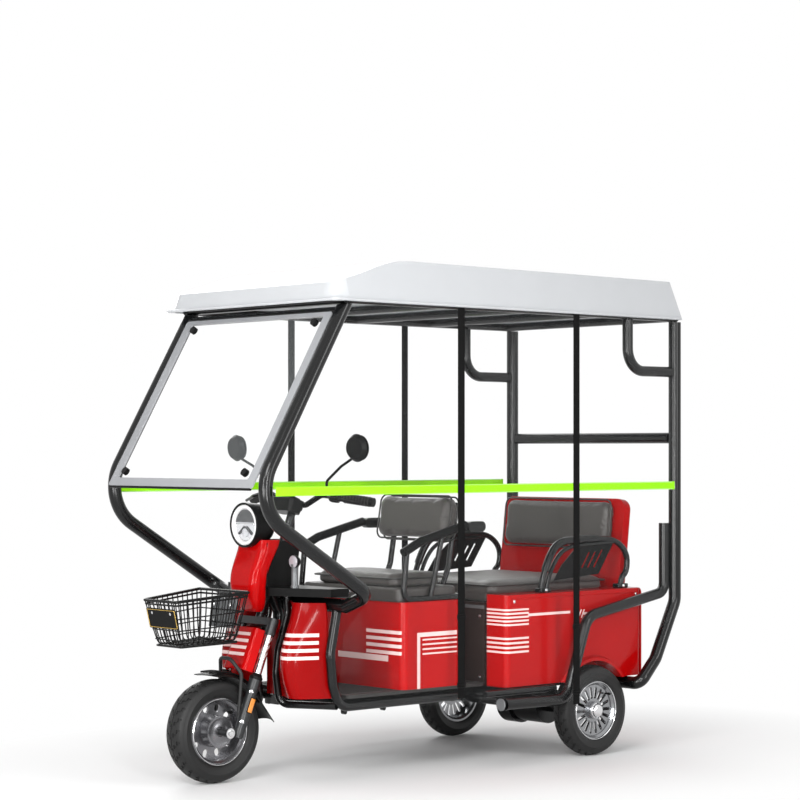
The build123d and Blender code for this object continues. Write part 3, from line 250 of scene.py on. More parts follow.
# ---------------------------------------------------------------- stage
CAMERA_PLACE = (6.457, -5.7275, 1.208)
CAMERA_TURN = 48.3154
CAMERA_LENS = 99.98
CAMERA_SHIFT = 0.0614
WHITE = (1, 1, 1, 1)
AMBIENT = 0.27
FLOOR_FADE = (0.75, 1.6)
FLOOR_LENGTH = 1.5
# Each lamp: name, place, the point it looks at, width and height, power in watts.
LAMPS = (
    ("key", (2.9, -4.4, 3.6), (0.0, -0.2, 0.8), (1.6, 1.6), 118),
    ("side", (5.0, 0.9, 2.2), (0.0, 0.3, 0.7), (1.2, 2.6), 66),
    ("back", (-4.2, 1.8, 3.4), (0.0, 0.0, 0.9), (3.0, 2.4), 80),
    ("top", (0.0, 0.2, 5.4), (0.0, 0.2, 0.0), (4.0, 4.0), 75),
    ("strip_front", (1.2, -4.6, 1.3), (0.0, -0.6, 0.6), (0.3, 2.4), 70),
    ("low_front", (2.4, -4.4, 0.7), (0.0, 0.0, 0.4), (2.2, 0.9), 45),
    ("strip_side", (3.9, -2.4, 1.2), (0.0, 0.2, 0.6), (0.3, 2.4), 85),
)


class TRICYCLE_OT_stage(bpy.types.Operator):
    """Camera, soft lights and a pale floor that keeps the shadow"""

    bl_idname = "tricycle.stage"
    bl_label = "Stage"

    def execute(self, context):
        scene = context.scene
        scene.view_settings.view_transform = "Standard"
        set_camera(scene)
        set_world(scene)
        deselect()
        bpy.ops.mesh.primitive_plane_add(size=60, location=(0, 0, 0))
        floor = context.object
        floor.name = "floor"
        floor_paint()
        painted(floor, "studio_floor")
        for lamp in LAMPS:
            area_light(*lamp)
        return {"FINISHED"}


def deselect():
    """Leave edit mode and select nothing."""
    if bpy.context.object and bpy.context.object.mode != "OBJECT":
        bpy.ops.object.mode_set(mode="OBJECT")
    bpy.ops.object.select_all(action="DESELECT")


def set_camera(scene):
    """The view of the vehicle from its left front corner."""
    bpy.ops.object.camera_add(
        location=CAMERA_PLACE, rotation=(pi / 2, 0, radians(CAMERA_TURN))
    )
    camera = bpy.context.object
    camera.data.lens = CAMERA_LENS
    camera.data.sensor_width = 36
    camera.data.shift_y = CAMERA_SHIFT
    scene.camera = camera


def rays_that_see(tree):
    """One for rays of the camera and for those that a mirror or glass sends on."""
    path = add_node(tree, "LightPath").outputs
    kinds = ("Is Camera Ray", "Is Glossy Ray", "Is Transmission Ray")
    return combined(tree, "MAXIMUM", [path[kind] for kind in kinds])


def set_world(scene):
    """Even light for the object, and plain white wherever the backdrop itself is seen."""
    world = bpy.data.worlds.new("studio")
    scene.world = world
    world.use_nodes = True
    tree = world.node_tree
    tree.nodes.clear()
    even, plain = (
        add_node(tree, "Background", {"Color": WHITE, "Strength": strength}).outputs["Background"]
        for strength in (AMBIENT, 1.0)
    )
    mix = add_node(tree, "MixShader", {"Fac": rays_that_see(tree), 1: even, 2: plain})
    add_node(tree, "OutputWorld", {"Surface": mix.outputs["Shader"]})


def floor_paint():
    """A pale floor near the object that turns to plain white further off."""
    tree, shader = new_material("studio_floor")
    cloud = between_values(tree, noise(tree, 0.8, 1.0), 0.93, 0.95)
    tint = add_node(tree, "CombineColor", {"Red": cloud, "Green": cloud, "Blue": cloud})
    fill(tree, shader, {"Base Color": tint.outputs["Color"], "Roughness": 0.6,
                        "Specular IOR Level": 0.1})
    x, y, _ = axes(tree)
    along = sums(tree, "DIVIDE", y, FLOOR_LENGTH)
    square = sums(tree, "ADD", sums(tree, "POWER", x, 2.0), sums(tree, "POWER", along, 2.0))
    far = between_values(tree, sums(tree, "SQRT", square), 0.0, 1.0, *FLOOR_FADE)
    glow = add_node(tree, "Emission", {"Color": WHITE})
    mix = add_node(tree, "MixShader", {
        "Fac": sums(tree, "MULTIPLY", rays_that_see(tree), far),
        1: shader.outputs["BSDF"], 2: glow.outputs["Emission"],
    })
    output = next(node for node in tree.nodes if node.type == "OUTPUT_MATERIAL")
    fill(tree, output, {"Surface": mix.outputs["Shader"]})


def area_light(name, place, target, size, power):
    """A large soft lamp that looks at a point."""
    way = (Vector(target) - Vector(place)).to_track_quat("-Z", "Y").to_euler()
    bpy.ops.object.light_add(type="AREA", location=place, rotation=way)
    lamp = bpy.context.object
    lamp.name = name
    lamp.data.shape = "RECTANGLE"
    lamp.data.size, lamp.data.size_y = size
    lamp.data.energy = power


# ---------------------------------------------------------------- shaping
def hold(piece):
    """Select one piece only and make it the active one."""
    deselect()
    piece.select_set(True)
    bpy.context.view_layer.objects.active = piece
    return piece


def edit_all(piece):
    """Enter edit mode with the whole piece selected."""
    hold(piece)
    bpy.context.tool_settings.mesh_select_mode = (True, False, False)
    bpy.ops.object.mode_set(mode="EDIT")
    bpy.ops.mesh.select_all(action="SELECT")


def choose_faces(piece, test):
    """Enter edit mode with the faces selected whose middle and normal pass a test."""
    hold(piece)
    bpy.context.tool_settings.mesh_select_mode = (False, False, True)
    bpy.ops.object.mode_set(mode="EDIT")
    bpy.ops.mesh.select_all(action="DESELECT")
    bpy.ops.object.mode_set(mode="OBJECT")
    place = piece.matrix_world
    for face in piece.data.polygons:
        face.select = bool(test(place @ face.center, face.normal))
    bpy.ops.object.mode_set(mode="EDIT")


def leave_edit():
    """Go back to object mode."""
    bpy.ops.object.mode_set(mode="OBJECT")


def modify(piece, kind, **settings):
    """Add a modifier with its settings and apply it."""
    hold(piece)
    modifier = piece.modifiers.new(kind.lower(), kind)
    for key, value in settings.items():
        setattr(modifier, key, value)
    bpy.ops.object.modifier_apply(modifier=modifier.name)
    return piece


def painted(piece, material):
    """Give a piece one finish."""
    piece.data.materials.clear()
    piece.data.materials.append(bpy.data.materials[f"{material}_finish"])
    return piece


def turned(steps, center, way, count, ends="capped"):
    """A round piece, drawn on along its axis through steps of radius and distance."""
    deselect()
    way = Vector(way).normalized()
    center = Vector(center)
    radius, along = steps[0]
    bpy.ops.mesh.primitive_circle_add(
        vertices=count, radius=radius, location=center + way * along,
        rotation=way.to_track_quat("Z", "Y").to_euler(),
        fill_type="NGON" if ends == "capped" else "NOTHING",
    )
    piece = bpy.context.object
    edit_all(piece)
    for next_radius, next_along in steps[1:]:
        bpy.ops.mesh.extrude_region_move()
        bpy.ops.transform.translate(value=way * (next_along - along))
        share = next_radius / radius
        bpy.ops.transform.resize(
            value=(share, share, share), center_override=center + way * next_along
        )
        radius, along = next_radius, next_along
    if ends == "capped":
        bpy.ops.mesh.select_all(action="DESELECT")
        bpy.ops.mesh.select_mode(type="EDGE")
        bpy.ops.mesh.select_non_manifold()
        bpy.ops.mesh.edge_face_add()
    bpy.ops.mesh.select_all(action="SELECT")
    if ends == "ring":
        bpy.ops.mesh.remove_doubles(threshold=0.00001)
    bpy.ops.mesh.normals_make_consistent(inside=False)
    leave_edit()
    bpy.ops.object.transform_apply(location=True, rotation=True, scale=True)
    return piece


def rod(points, radius, closed=False, order=3, sides=3, resolution=6):
    """A round bar or wire along the line that its points lead."""
    deselect()
    curve = bpy.data.curves.new("rod", "CURVE")
    curve.dimensions = "3D"
    curve.bevel_depth = radius
    curve.bevel_resolution = sides
    curve.resolution_u = resolution
    curve.use_fill_caps = not closed
    spline = curve.splines.new("NURBS")
    spline.points.add(len(points) - 1)
    for point, place in zip(spline.points, points):
        point.co = (*place, 1.0)
    spline.order_u = order
    spline.use_endpoint_u = not closed
    spline.use_cyclic_u = closed
    piece = bpy.data.objects.new("rod", curve)
    bpy.context.scene.collection.objects.link(piece)
    hold(piece)
    bpy.ops.object.convert(target="MESH")
    return bpy.context.object


def block(center, size, edge, turn=(0, 0, 0), segments=3):
    """A block with rounded edges."""
    deselect()
    bpy.ops.mesh.primitive_cube_add(size=1, location=center, rotation=turn, scale=size)
    piece = bpy.context.object
    bpy.ops.object.transform_apply(location=True, rotation=True, scale=True)
    return modify(piece, "BEVEL", width=edge, segments=segments)


def other_side(piece):
    """A mirrored copy across the middle of the vehicle."""
    hold(piece)
    bpy.ops.object.duplicate()
    copy = bpy.context.object
    edit_all(copy)
    bpy.ops.transform.resize(value=(-1, 1, 1), center_override=(0, 0, 0))
    bpy.ops.mesh.flip_normals()
    leave_edit()
    return copy


def joined(parts):
    """Several parts made one mesh."""
    hold(parts[0])
    for part in parts:
        part.select_set(True)
    if len(parts) > 1:
        bpy.ops.object.join()
    return parts[0]


def both_sides(parts):
    """Parts of the left side made one mesh with their mirrored copy."""
    left = joined(parts)
    return joined([left, other_side(left)])


def settle(piece, name, body, stands_for=(), angle=35):
    """Name a finished piece, put its origin at the frame's, smooth it and let it ride."""
    hold(piece)
    bpy.ops.object.transform_apply(location=True, rotation=True, scale=True)
    bpy.ops.object.shade_smooth_by_angle(angle=radians(angle))
    piece.name = name
    piece.data.name = name
    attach(piece, body)
    if stands_for:
        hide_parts(*stands_for)
    return piece


def bolt(center, way, radius, height):
    """A washer and a domed hexagon head on a surface."""
    washer = turned(
        [(radius * 1.7, 0), (radius * 1.7, 0.0008), (radius * 1.5, 0.0012)], center, way, 20
    )
    head = turned(
        [(radius, 0.001), (radius, height), (radius * 0.8, height * 1.25)], center, way, 6
    )
    return joined([washer, head])


def screws(places, way, radius, height, finish="chrome_steel"):
    """A painted bolt at each place."""
    return [painted(bolt(place, way, radius, height), finish) for place in places]


def edging(loop, radius, finish, sides=3):
    """A painted round line along a closed loop."""
    return painted(rod(loop, radius, closed=True, sides=sides), finish)


# ---------------------------------------------------------------- finishes
def lines(tree, value, low, high, count, share):
    """A number of even lines between two limits of a value."""
    pitch = (high - low) / (count - 1 + share)
    step = sums(tree, "DIVIDE", sums(tree, "SUBTRACT", value, low), pitch)
    drawn = sums(tree, "LESS_THAN", sums(tree, "FRACT", step), share)
    return sums(tree, "MULTIPLY", drawn, inside(tree, value, low, high))


# Pale marks on each red moulding.  A mark keeps within limits of x, of y as the distance behind
# the front axle, of z, of "wide" as the distance from the middle, or of "slant" as y less half z.
# Four numbers in place of two draw lines: the limits, how many, and the share that is drawn.
MARKS = {
    "red_seat_box": (
        dict(y=(0.6, 0.656), x=(0.093, 0.302), z=(0.44, 0.53, 4, 0.5)),
        dict(y=(0.6, 0.656), x=(-0.072, 0.219), z=(0.413, 0.435)),
        dict(wide=(0.297, 1.0), y=(0.723, 0.738), z=(0.304, 0.521)),
        dict(wide=(0.297, 1.0), y=(0.723, 0.928), z=(0.505, 0.521)),
        dict(wide=(0.297, 1.0), y=(0.75, 0.928), z=(0.438, 0.497, 4, 0.34)),
    ),
    "red_shields_shaded": (dict(wide=(0.112, 0.25), z=(0.445, 0.54, 4, 0.46)),),
    "red_shroud": (dict(x=(-0.052, 0.04), z=(0.456, 0.539, 4, 0.46)),),
    "red_wings": (
        dict(y=(0.0, 1.204), z=(0.533, 0.597, 5, 0.5)),
        dict(y=(0.0, 1.204), z=(0.428, 0.488, 4, 0.46)),
        dict(y=(1.2, 1.432), z=(0.566, 0.576)),
        dict(y=(1.505, 1.632), z=(0.557, 0.566)),
        dict(slant=(1.186, 1.226, 3, 0.42), z=(0.545, 0.578)),
    ),
}
# Painted shade: darker red in the recesses, within limits of the same kind.
SHADED_RECESSES = {
    "red_seat_box": dict(y=(0.6, 0.656), x=(-0.24, 0.24), z=(0.32, 0.402)),
    "red_wings": dict(y=(1.352, 1.372), z=(0.40, 0.61)),
}
RECESS_SHADE = 0.82


def marked(tree, places, limits):
    """One where a point keeps within every limit of a mark."""
    masks = []
    for axis, (low, high, *drawn) in limits.items():
        if axis in ("y", "slant"):
            low, high = behind(low), behind(high)
        draw = lines if drawn else inside
        masks.append(draw(tree, places[axis], low, high, *drawn))
    return combined(tree, "MULTIPLY", masks)


def gloss_paint(name, depth=1.0):
    """Gloss red under a clear coat, with the marks and the painted recess shade that its name
    calls for; a depth below one darkens the whole red as painted shade.
    """
    tree, shader = new_material(name)
    # A depth below one darkens the whole red: painted shade.
    red = scaled(colours().body_red, depth)
    base = mixed_colour(tree, noise(tree, 3.0), scaled(red, 0.86), red)
    if name in MARKS:
        x, y, z = axes(tree)
        slant = sums(tree, "ADD", y, sums(tree, "MULTIPLY", z, -0.5))
        places = {"x": x, "y": y, "z": z, "wide": sums(tree, "ABSOLUTE", x), "slant": slant}
        # Painted shade: the red is made darker in the recesses and the crease of the wings.
        if name in SHADED_RECESSES:
            dark = marked(tree, places, SHADED_RECESSES[name])
            base = mixed_colour(tree, dark, base, scaled(red, RECESS_SHADE))
        marks = [marked(tree, places, limits) for limits in MARKS[name]]
        base = mixed_colour(tree, combined(tree, "MAXIMUM", marks), base, colours().stripe)
    fill(tree, shader, {"Base Color": base, "Specular IOR Level": 0.08, "Coat Weight": 0.10,
                        "Coat Roughness": 0.03})
    shiny(tree, shader, noise(tree, 60.0, 2.0), 0.16, 0.22)
    raised(tree, shader, noise(tree, 24.0, 1.0), 0.03, 0.002)


def clear_plastic(name, tint, alpha, roughness):
    """Thin clear plastic that shows what is behind it and picks up soft highlights."""
    tree, shader = new_material(name)
    haze = between_values(tree, noise(tree, 5.0), alpha * 0.7, alpha * 1.3)
    fill(tree, shader, {"Base Color": (*tint, 1), "Alpha": haze})
    shiny(tree, shader, noise(tree, 14.0, 2.0), roughness * 0.8, roughness * 1.2)


def lens_plastic(name, tint, ribs):
    """Glossy lamp plastic with fine ribs under its face."""
    tree, shader = new_material(name)
    clouded(tree, shader, noise(tree, 30.0, 2.0), scaled(tint, 0.7), tint)
    shiny(tree, shader, noise(tree, 90.0, 1.0), 0.08, 0.16)
    fill(tree, shader, {"Coat Weight": 1.0})
    x, _, z = axes(tree)
    wave = sums(tree, "SINE", sums(tree, "MULTIPLY", sums(tree, "ADD", x, z), ribs))
    raised(tree, shader, wave, 0.4)


def hide_vinyl(name, tint):
    """Leathered vinyl: soft pebbles with fine creases between them."""
    tree, shader = new_material(name)
    clouded(tree, shader, noise(tree, 7.0, 5.0), scaled(tint, 0.72), scaled(tint, 1.3))
    shiny(tree, shader, noise(tree, 22.0), 0.36, 0.52)
    fill(tree, shader, {"Sheen Weight": 0.15})
    raised(tree, shader, cells(tree, 420.0), 0.35, 0.0012)


def webbing(name, tint):
    """Woven webbing: ribs across the strap and a fine thread grain."""
    tree, shader = new_material(name)
    _, y, z = axes(tree)
    ribs, weft = (sums(tree, "SINE", sums(tree, "MULTIPLY", value, fineness))
                  for value, fineness in ((z, 2600.0), (y, 3400.0)))
    weave = sums(tree, "MULTIPLY", ribs, weft)
    clouded(tree, shader, between_values(tree, weave, 0.0, 1.0, -1.0), tint, scaled(tint, 1.7))
    shiny(tree, shader, noise(tree, 30.0), 0.6, 0.8)
    fill(tree, shader, {"Specular IOR Level": 0.08})
    raised(tree, shader, weave, 0.5, 0.0005)


def band_tape(name, tint):
    """Bright tape with a honeycomb of fine cells."""
    tree, shader = new_material(name)
    cloud = noise(tree, 12.0)
    clouded(tree, shader, cloud, scaled(tint, 0.86), tint)
    shiny(tree, shader, cloud, 0.3, 0.5)
    fill(tree, shader, {"Specular IOR Level": 0.15})
    raised(tree, shader, cells(tree, 300.0), 0.2, 0.0006)


# Each finish: name, colour, roughness, grain, strength of the grain, further settings.
SPECKLED = (
    ("moulded_black", (0.006, 0.006, 0.006), 0.32, 700.0, 0.1, dict(specular=0.09)),
    ("matt_black", (0.007, 0.007, 0.007), 0.62, 500.0, 0.1, {}),
    ("dark_steel", (0.016, 0.017, 0.018), 0.3, 800.0, 0.06, dict(metallic=0.3)),
    ("chrome_steel", (0.7, 0.7, 0.71), 0.1, 500.0, 0.02, dict(metallic=1.0)),
    ("dark_alloy", (0.2, 0.2, 0.21), 0.26, 600.0, 0.08, dict(metallic=0.85)),
    ("cast_alloy", (0.3, 0.305, 0.315), 0.22, 600.0, 0.08, dict(metallic=0.9)),
    ("liner_grey", (0.42, 0.44, 0.46), 0.5, 300.0, 0.05, dict(spread=0.04)),
    ("strip_grey", (0.3, 0.306, 0.32), 0.4, 400.0, 0.05, dict(spread=0.1)),
    ("dark_board", (0.022, 0.013, 0.011), 0.4, 500.0, 0.08, {}),
    ("floor_mat", (0.014, 0.013, 0.012), 0.7, 240.0, 0.4, {}),
    ("lid_brown", (0.046, 0.041, 0.038), 0.42, 420.0, 0.2, {}),
    ("plate_black", (0.006, 0.006, 0.006), 0.3, 300.0, 0.03, dict(spread=0.2, specular=0.06)),
    ("tyre_rubber", (0.01, 0.01, 0.01), 0.52, 500.0, 0.2, dict(specular=0.3)),
    ("piping_vinyl", (0.02, 0.019, 0.018), 0.32, 600.0, 0.1, {}),
    ("pearl_white", (0.82, 0.8, 0.8), 0.24, 400.0, 0.03, dict(coat=0.6, spread=0.03)),
    ("reflector_silver", (0.74, 0.74, 0.76), 0.08, 200.0, 0.03, dict(metallic=1.0)),
    ("mirror_glass", (0.8, 0.82, 0.84), 0.03, 60.0, 0.002, dict(metallic=1.0)),
    ("display_glass", (0.004, 0.005, 0.006), 0.06, 80.0, 0.002, dict(coat=1.0)),
    ("gold_line", (0.72, 0.48, 0.13), 0.3, 500.0, 0.03, dict(metallic=0.8)),
    ("wire_coat", (0.005, 0.005, 0.005), 0.25, 800.0, 0.03, dict(spread=0.2, specular=0.14)),
    ("bracket_grey", (0.14, 0.145, 0.15), 0.34, 400.0, 0.05, dict(metallic=0.3)),
)
# Which nodes of the frame wear which finish.
WORN_BY = {
    "powder_coat": (
        "side_tubes", "step_rails", "rear_posts", "wheel_loops", "rear_braces", "chassis",
        "roof_frame", "rear_axle", "leaf_springs", "driver_seat_frame", "rear_armrests",
        "handlebar",
    ),
    "red_paint": ("front_cowl", "rear_backrest_shell", "rear_panel"),
    "red_seat_box": ("seat_box",),
    "red_shields_shaded": ("leg_shields",),
    "red_shroud": ("fork_shroud",),
    "red_wings": ("rear_wing_left", "rear_wing_right"),
    "moulded_black": (
        "front_fender", "knee_tray", "inner_fascia", "instrument_pod", "grips", "brake_levers",
        "mirrors", "windscreen_knobs", "driver_armrests", "battery",
    ),
    "matt_black": ("fender_hoop",),
    "dark_steel": ("fork_crown", "fork_legs"),
    "chrome_steel": ("fork_stanchions",),
    "dark_alloy": ("front_rim",),
    "cast_alloy": ("rear_rim_left", "rear_rim_right"),
    "clear_pane": ("windscreen_pane",),
    "roof_white": ("roof_shell",),
    "liner_grey": ("roof_liner",),
    "strip_grey": ("windscreen_frame",),
    "dark_board": ("rear_seat_base",),
    "floor_mat": ("footboard",),
    "lid_brown": ("seat_lid",),
    "red_lens": ("tail_lamps",),
    "plate_black": ("number_plate",),
}


class TRICYCLE_OT_finishes(bpy.types.Operator):
    """Finishes of the frame's own nodes and of the pieces to come"""

    bl_idname = "tricycle.finishes"
    bl_label = "Finishes"

    def execute(self, context):
        tint = colours()
        speckled("powder_coat", tint.tube_black, 0.2, 900.0, 0.02, spread=0.12, specular=0.36)
        speckled("roof_white", tint.roof_white, 0.32, 260.0, 0.03, coat=0.5, spread=0.03)
        for name in ("red_paint", "red_seat_box", "red_shroud", "red_wings"):
            gloss_paint(name)
        # The leg shields wear the same red made darker: painted shade for front faces that the
        # lamps light less.
        gloss_paint("red_shields_shaded", 0.6)
        clear_plastic("clear_pane", (0.9, 0.95, 0.97), 0.035, 0.04)
        lens_plastic("red_lens", (0.42, 0.006, 0.006), 1400.0)
        hide_vinyl("seat_vinyl", tuple(tint.vinyl))
        clear_plastic("clear_film", (0.93, 0.95, 0.96), 0.01, 0.08)
        webbing("strap_web", (0.0035, 0.0035, 0.0035))
        band_tape("lime_band", tuple(tint.lime))
        lens_plastic("grey_lens", (0.5, 0.46, 0.5), 1800.0)
        lens_plastic("amber_lens", (0.8, 0.26, 0.012), 1800.0)
        lens_plastic("clear_lens", (0.7, 0.7, 0.74), 2600.0)
        clear_plastic("lamp_glass", (0.95, 0.97, 1.0), 0.06, 0.02)
        for *values, more in SPECKLED:
            speckled(*values, **more)
        for finish, nodes in WORN_BY.items():
            for name in nodes:
                painted(frame["nodes"][name], finish)
        return {"FINISHED"}


# ---------------------------------------------------------------- wheels
BEAD_SHARE = 0.63
CROWN_FROM = 0.86
CROWN_HALF = 0.80
# Half the outline of a tyre's wall: share of the half width, share of the height above the bead.
TYRE_WALL = (
    (0.60, 0.0), (0.66, 0.03), (0.80, 0.10), (0.90, 0.20), (0.97, 0.34), (1.0, 0.48),
    (1.015, 0.50), (1.015, 0.53), (0.99, 0.55), (0.965, 0.64), (0.945, 0.66),
    (0.935, 0.70), (0.90, 0.76), (0.84, 0.83),
)
# Shares of the half width at which the crown has a ring, and the facets round a tyre.
CROWN_RINGS = (0.80, 0.66, 0.50, 0.34, 0.18, 0.05)
TYRE_FACETS = 168
VALVE = [(0.004, 0), (0.004, 0.016), (0.0052, 0.0165), (0.0052, 0.026), (0.004, 0.028)]


def tyre_steps(radius, half):
    """The outline of a tyre from bead to bead, as radius and distance along the axle."""
    bead = radius * BEAD_SHARE
    tall = radius - bead
    side = [(bead + tall * rise, half * out) for out, rise in TYRE_WALL]
    for out in CROWN_RINGS:
        rise = CROWN_FROM + (1 - CROWN_FROM) * (1 - (out / CROWN_HALF) ** 2)
        side.append((bead + tall * rise, half * out))
    return side + [(r, -along) for r, along in reversed(side)]


def treaded_tyre(node, body):
    """A tyre with ring lines on its walls and grooves in its crown."""
    low, high = box_of(node)
    hub = (low + high) / 2
    radius = (high.z - low.z) / 2
    half = (high.x - low.x) / 2
    steps = tyre_steps(radius, half)
    tyre = turned(steps + steps[:1], hub, across, TYRE_FACETS, "ring")

    def groove(place, normal):
        """The middle ring, and in the rings beside it one or two facets in every six."""
        spot = place - hub
        out = abs(spot.x) / half
        if out > CROWN_HALF or normal.x * normal.x > 0.5:
            return False
        if Vector((0, spot.y, spot.z)).length < radius * 0.9:
            return False
        if out < 0.05:
            return True
        column = int(out / 0.16)
        facet = int((atan2(spot.z, spot.y) / (2 * pi) + 0.5) * TYRE_FACETS + 0.01)
        return (facet + column) % 6 < 2 if column % 2 else (facet + column) % 6 == 1

    choose_faces(tyre, groove)
    bpy.ops.mesh.inset(
        thickness=0.0011, depth=-sizes().tread_depth, use_boundary=True, use_even_offset=False
    )
    leave_edit()
    painted(tyre, "tyre_rubber")
    return settle(tyre, f"{node}_tread", body, [node], 32)


class TRICYCLE_OT_tyres(bpy.types.Operator):
    """Three treaded tyres"""

    bl_idname = "tricycle.tyres"
    bl_label = "Tyres"

    def execute(self, context):
        for node, body in (("front_tyre", "front_wheel"), ("rear_tyre_left", "rear_wheel_left"),
                           ("rear_tyre_right", "rear_wheel_right")):
            treaded_tyre(node, body)
        return {"FINISHED"}


class TRICYCLE_OT_hubs(bpy.types.Operator):
    """Hub caps, rim lips and tyre valves"""

    bl_idname = "tricycle.hubs"
    bl_label = "Hubs"

    def execute(self, context):
        self.rear_hub("rear_rim_left", "rear_wheel_left", left_hub, across)
        self.rear_hub("rear_rim_right", "rear_wheel_right", right_hub, -across)
        self.front_hub()
        return {"FINISHED"}

    def lip(self, node, way):
        """A bright rolled lip round the outside of a rim."""
        low, high = box_of(node)
        middle = (low + high) / 2
        radius = (high.z - low.z) / 2
        face = (high.x - low.x) / 2
        steps = [
            (radius - 0.0046, face + 0.0002), (radius - 0.0036, face + 0.0018),
            (radius - 0.0020, face + 0.0020), (radius - 0.0010, face + 0.0006),
            (radius - 0.0026, face + 0.0001), (radius - 0.0046, face + 0.0002),
        ]
        return turned(steps, middle, way, 72, "ring")

    def rear_hub(self, node, body, hub, way):
        """A domed cap, a rolled lip and a valve."""
        cap = turned(
            [(0.030, 0.0343), (0.030, 0.037), (0.027, 0.040), (0.026, 0.046), (0.023, 0.050),
             (0.015, 0.053), (0.006, 0.054)],
            hub, way, 40,
        )
        stem = turned(VALVE, hub + way * 0.024 + Vector((0, 0.062, 0.062)), way, 12)
        parts = [painted(cap, "chrome_steel"), painted(self.lip(node, way), "chrome_steel"),
                 painted(stem, "moulded_black")]
        settle(joined(parts), f"{node}_hub_cap", body)

    def front_hub(self):
        """A ringed hub face and a rolled lip on each side, and a valve."""
        parts = []
        for way in (across, -across):
            face = turned(
                [(0.056, 0.0422), (0.056, 0.0434), (0.050, 0.0440), (0.047, 0.0428),
                 (0.030, 0.0428), (0.027, 0.0444), (0.018, 0.0444), (0.016, 0.0425)],
                front_hub, way, 48,
            )
            parts.append(painted(face, "dark_alloy"))
            parts.append(painted(self.lip("front_rim", way), "chrome_steel"))
        stem = turned(VALVE, front_hub + Vector((-0.012, 0.074, 0.062)), across, 12)
        parts.append(painted(stem, "moulded_black"))
        settle(joined(parts), "front_hub_faces", "front_wheel")


# ---------------------------------------------------------------- lamps
class TRICYCLE_OT_headlight(bpy.types.Operator):
    """Round headlight: black bowl, white ring, reflector with its bars, and a clear face"""

    bl_idname = "tricycle.headlight"
    bl_label = "Headlight"

    def execute(self, context):
        low, high = box_of("headlight")
        radius = (high.x - low.x) / 2
        face = high.y - low.y
        back = Vector(((low.x + high.x) / 2, high.y, (low.z + high.z) / 2))
        bowl = turned(
            [(0.020, 0.0), (0.044, 0.004), (0.062, 0.014), (0.073, 0.032), (0.0795, 0.060),
             (radius, face - 0.012), (radius, face - 0.001), (radius - 0.002, face + 0.001),
             (radius - 0.006, face + 0.001), (radius - 0.0075, face - 0.004),
             (radius - 0.010, face - 0.012)],
            back, forward, 72,
        )
        ring = turned(
            [(radius - 0.0078, face - 0.011), (radius - 0.0084, face - 0.003),
             (radius - 0.0115, face - 0.0005), (radius - 0.0200, face - 0.0020),
             (radius - 0.0235, face - 0.0055), (radius - 0.0245, face - 0.011),
             (radius - 0.0078, face - 0.011)],
            back, forward, 72, "ring",
        )
        dish = turned(
            [(0.057, face - 0.0105), (0.050, face - 0.0112), (0.040, face - 0.0116)],
            back, forward, 48,
        )
        middle = back + forward * (face - 0.010)
        hood = turned(
            [(0.0555, 0.0), (0.0555, 0.0035), (0.052, 0.005), (0.044, 0.0035)],
            middle, forward, 48,
        )
        edit_all(hood)
        bpy.ops.mesh.bisect(
            plane_co=middle + upward * 0.010, plane_no=upward, clear_inner=True, use_fill=True
        )
        bpy.ops.mesh.select_all(action="SELECT")
        bpy.ops.mesh.normals_make_consistent(inside=False)
        leave_edit()
        bar = block(middle + forward * 0.003 + upward * 0.004, (0.108, 0.006, 0.007), 0.002)
        left = block(
            middle + forward * 0.002 + Vector((0.022, 0, -0.020)), (0.044, 0.005, 0.009), 0.002,
            (0, radians(38), 0),
        )
        right = other_side(left)
        lamp = turned(
            [(0.016, 0.0), (0.016, 0.004), (0.013, 0.006), (0.006, 0.007)],
            middle + upward * -0.028, forward, 32,
        )
        parts = [painted(piece, finish) for piece, finish in (
            (bowl, "moulded_black"), (ring, "pearl_white"), (dish, "reflector_silver"),
            (hood, "moulded_black"), (bar, "reflector_silver"), (left, "moulded_black"),
            (right, "moulded_black"), (lamp, "clear_lens"),
        )]
        settle(joined(parts), "headlight_lamp", "frame", ["headlight"])
        cover = turned(
            [(radius - 0.0076, face - 0.0012), (radius - 0.016, face + 0.0012),
             (radius - 0.030, face + 0.0034), (0.034, face + 0.0048), (0.016, face + 0.0054)],
            back, forward, 64,
        )
        settle(painted(cover, "lamp_glass"), "headlight_cover", "frame")
        return {"FINISHED"}


TAIL_LAMP_WIDTH = 0.070


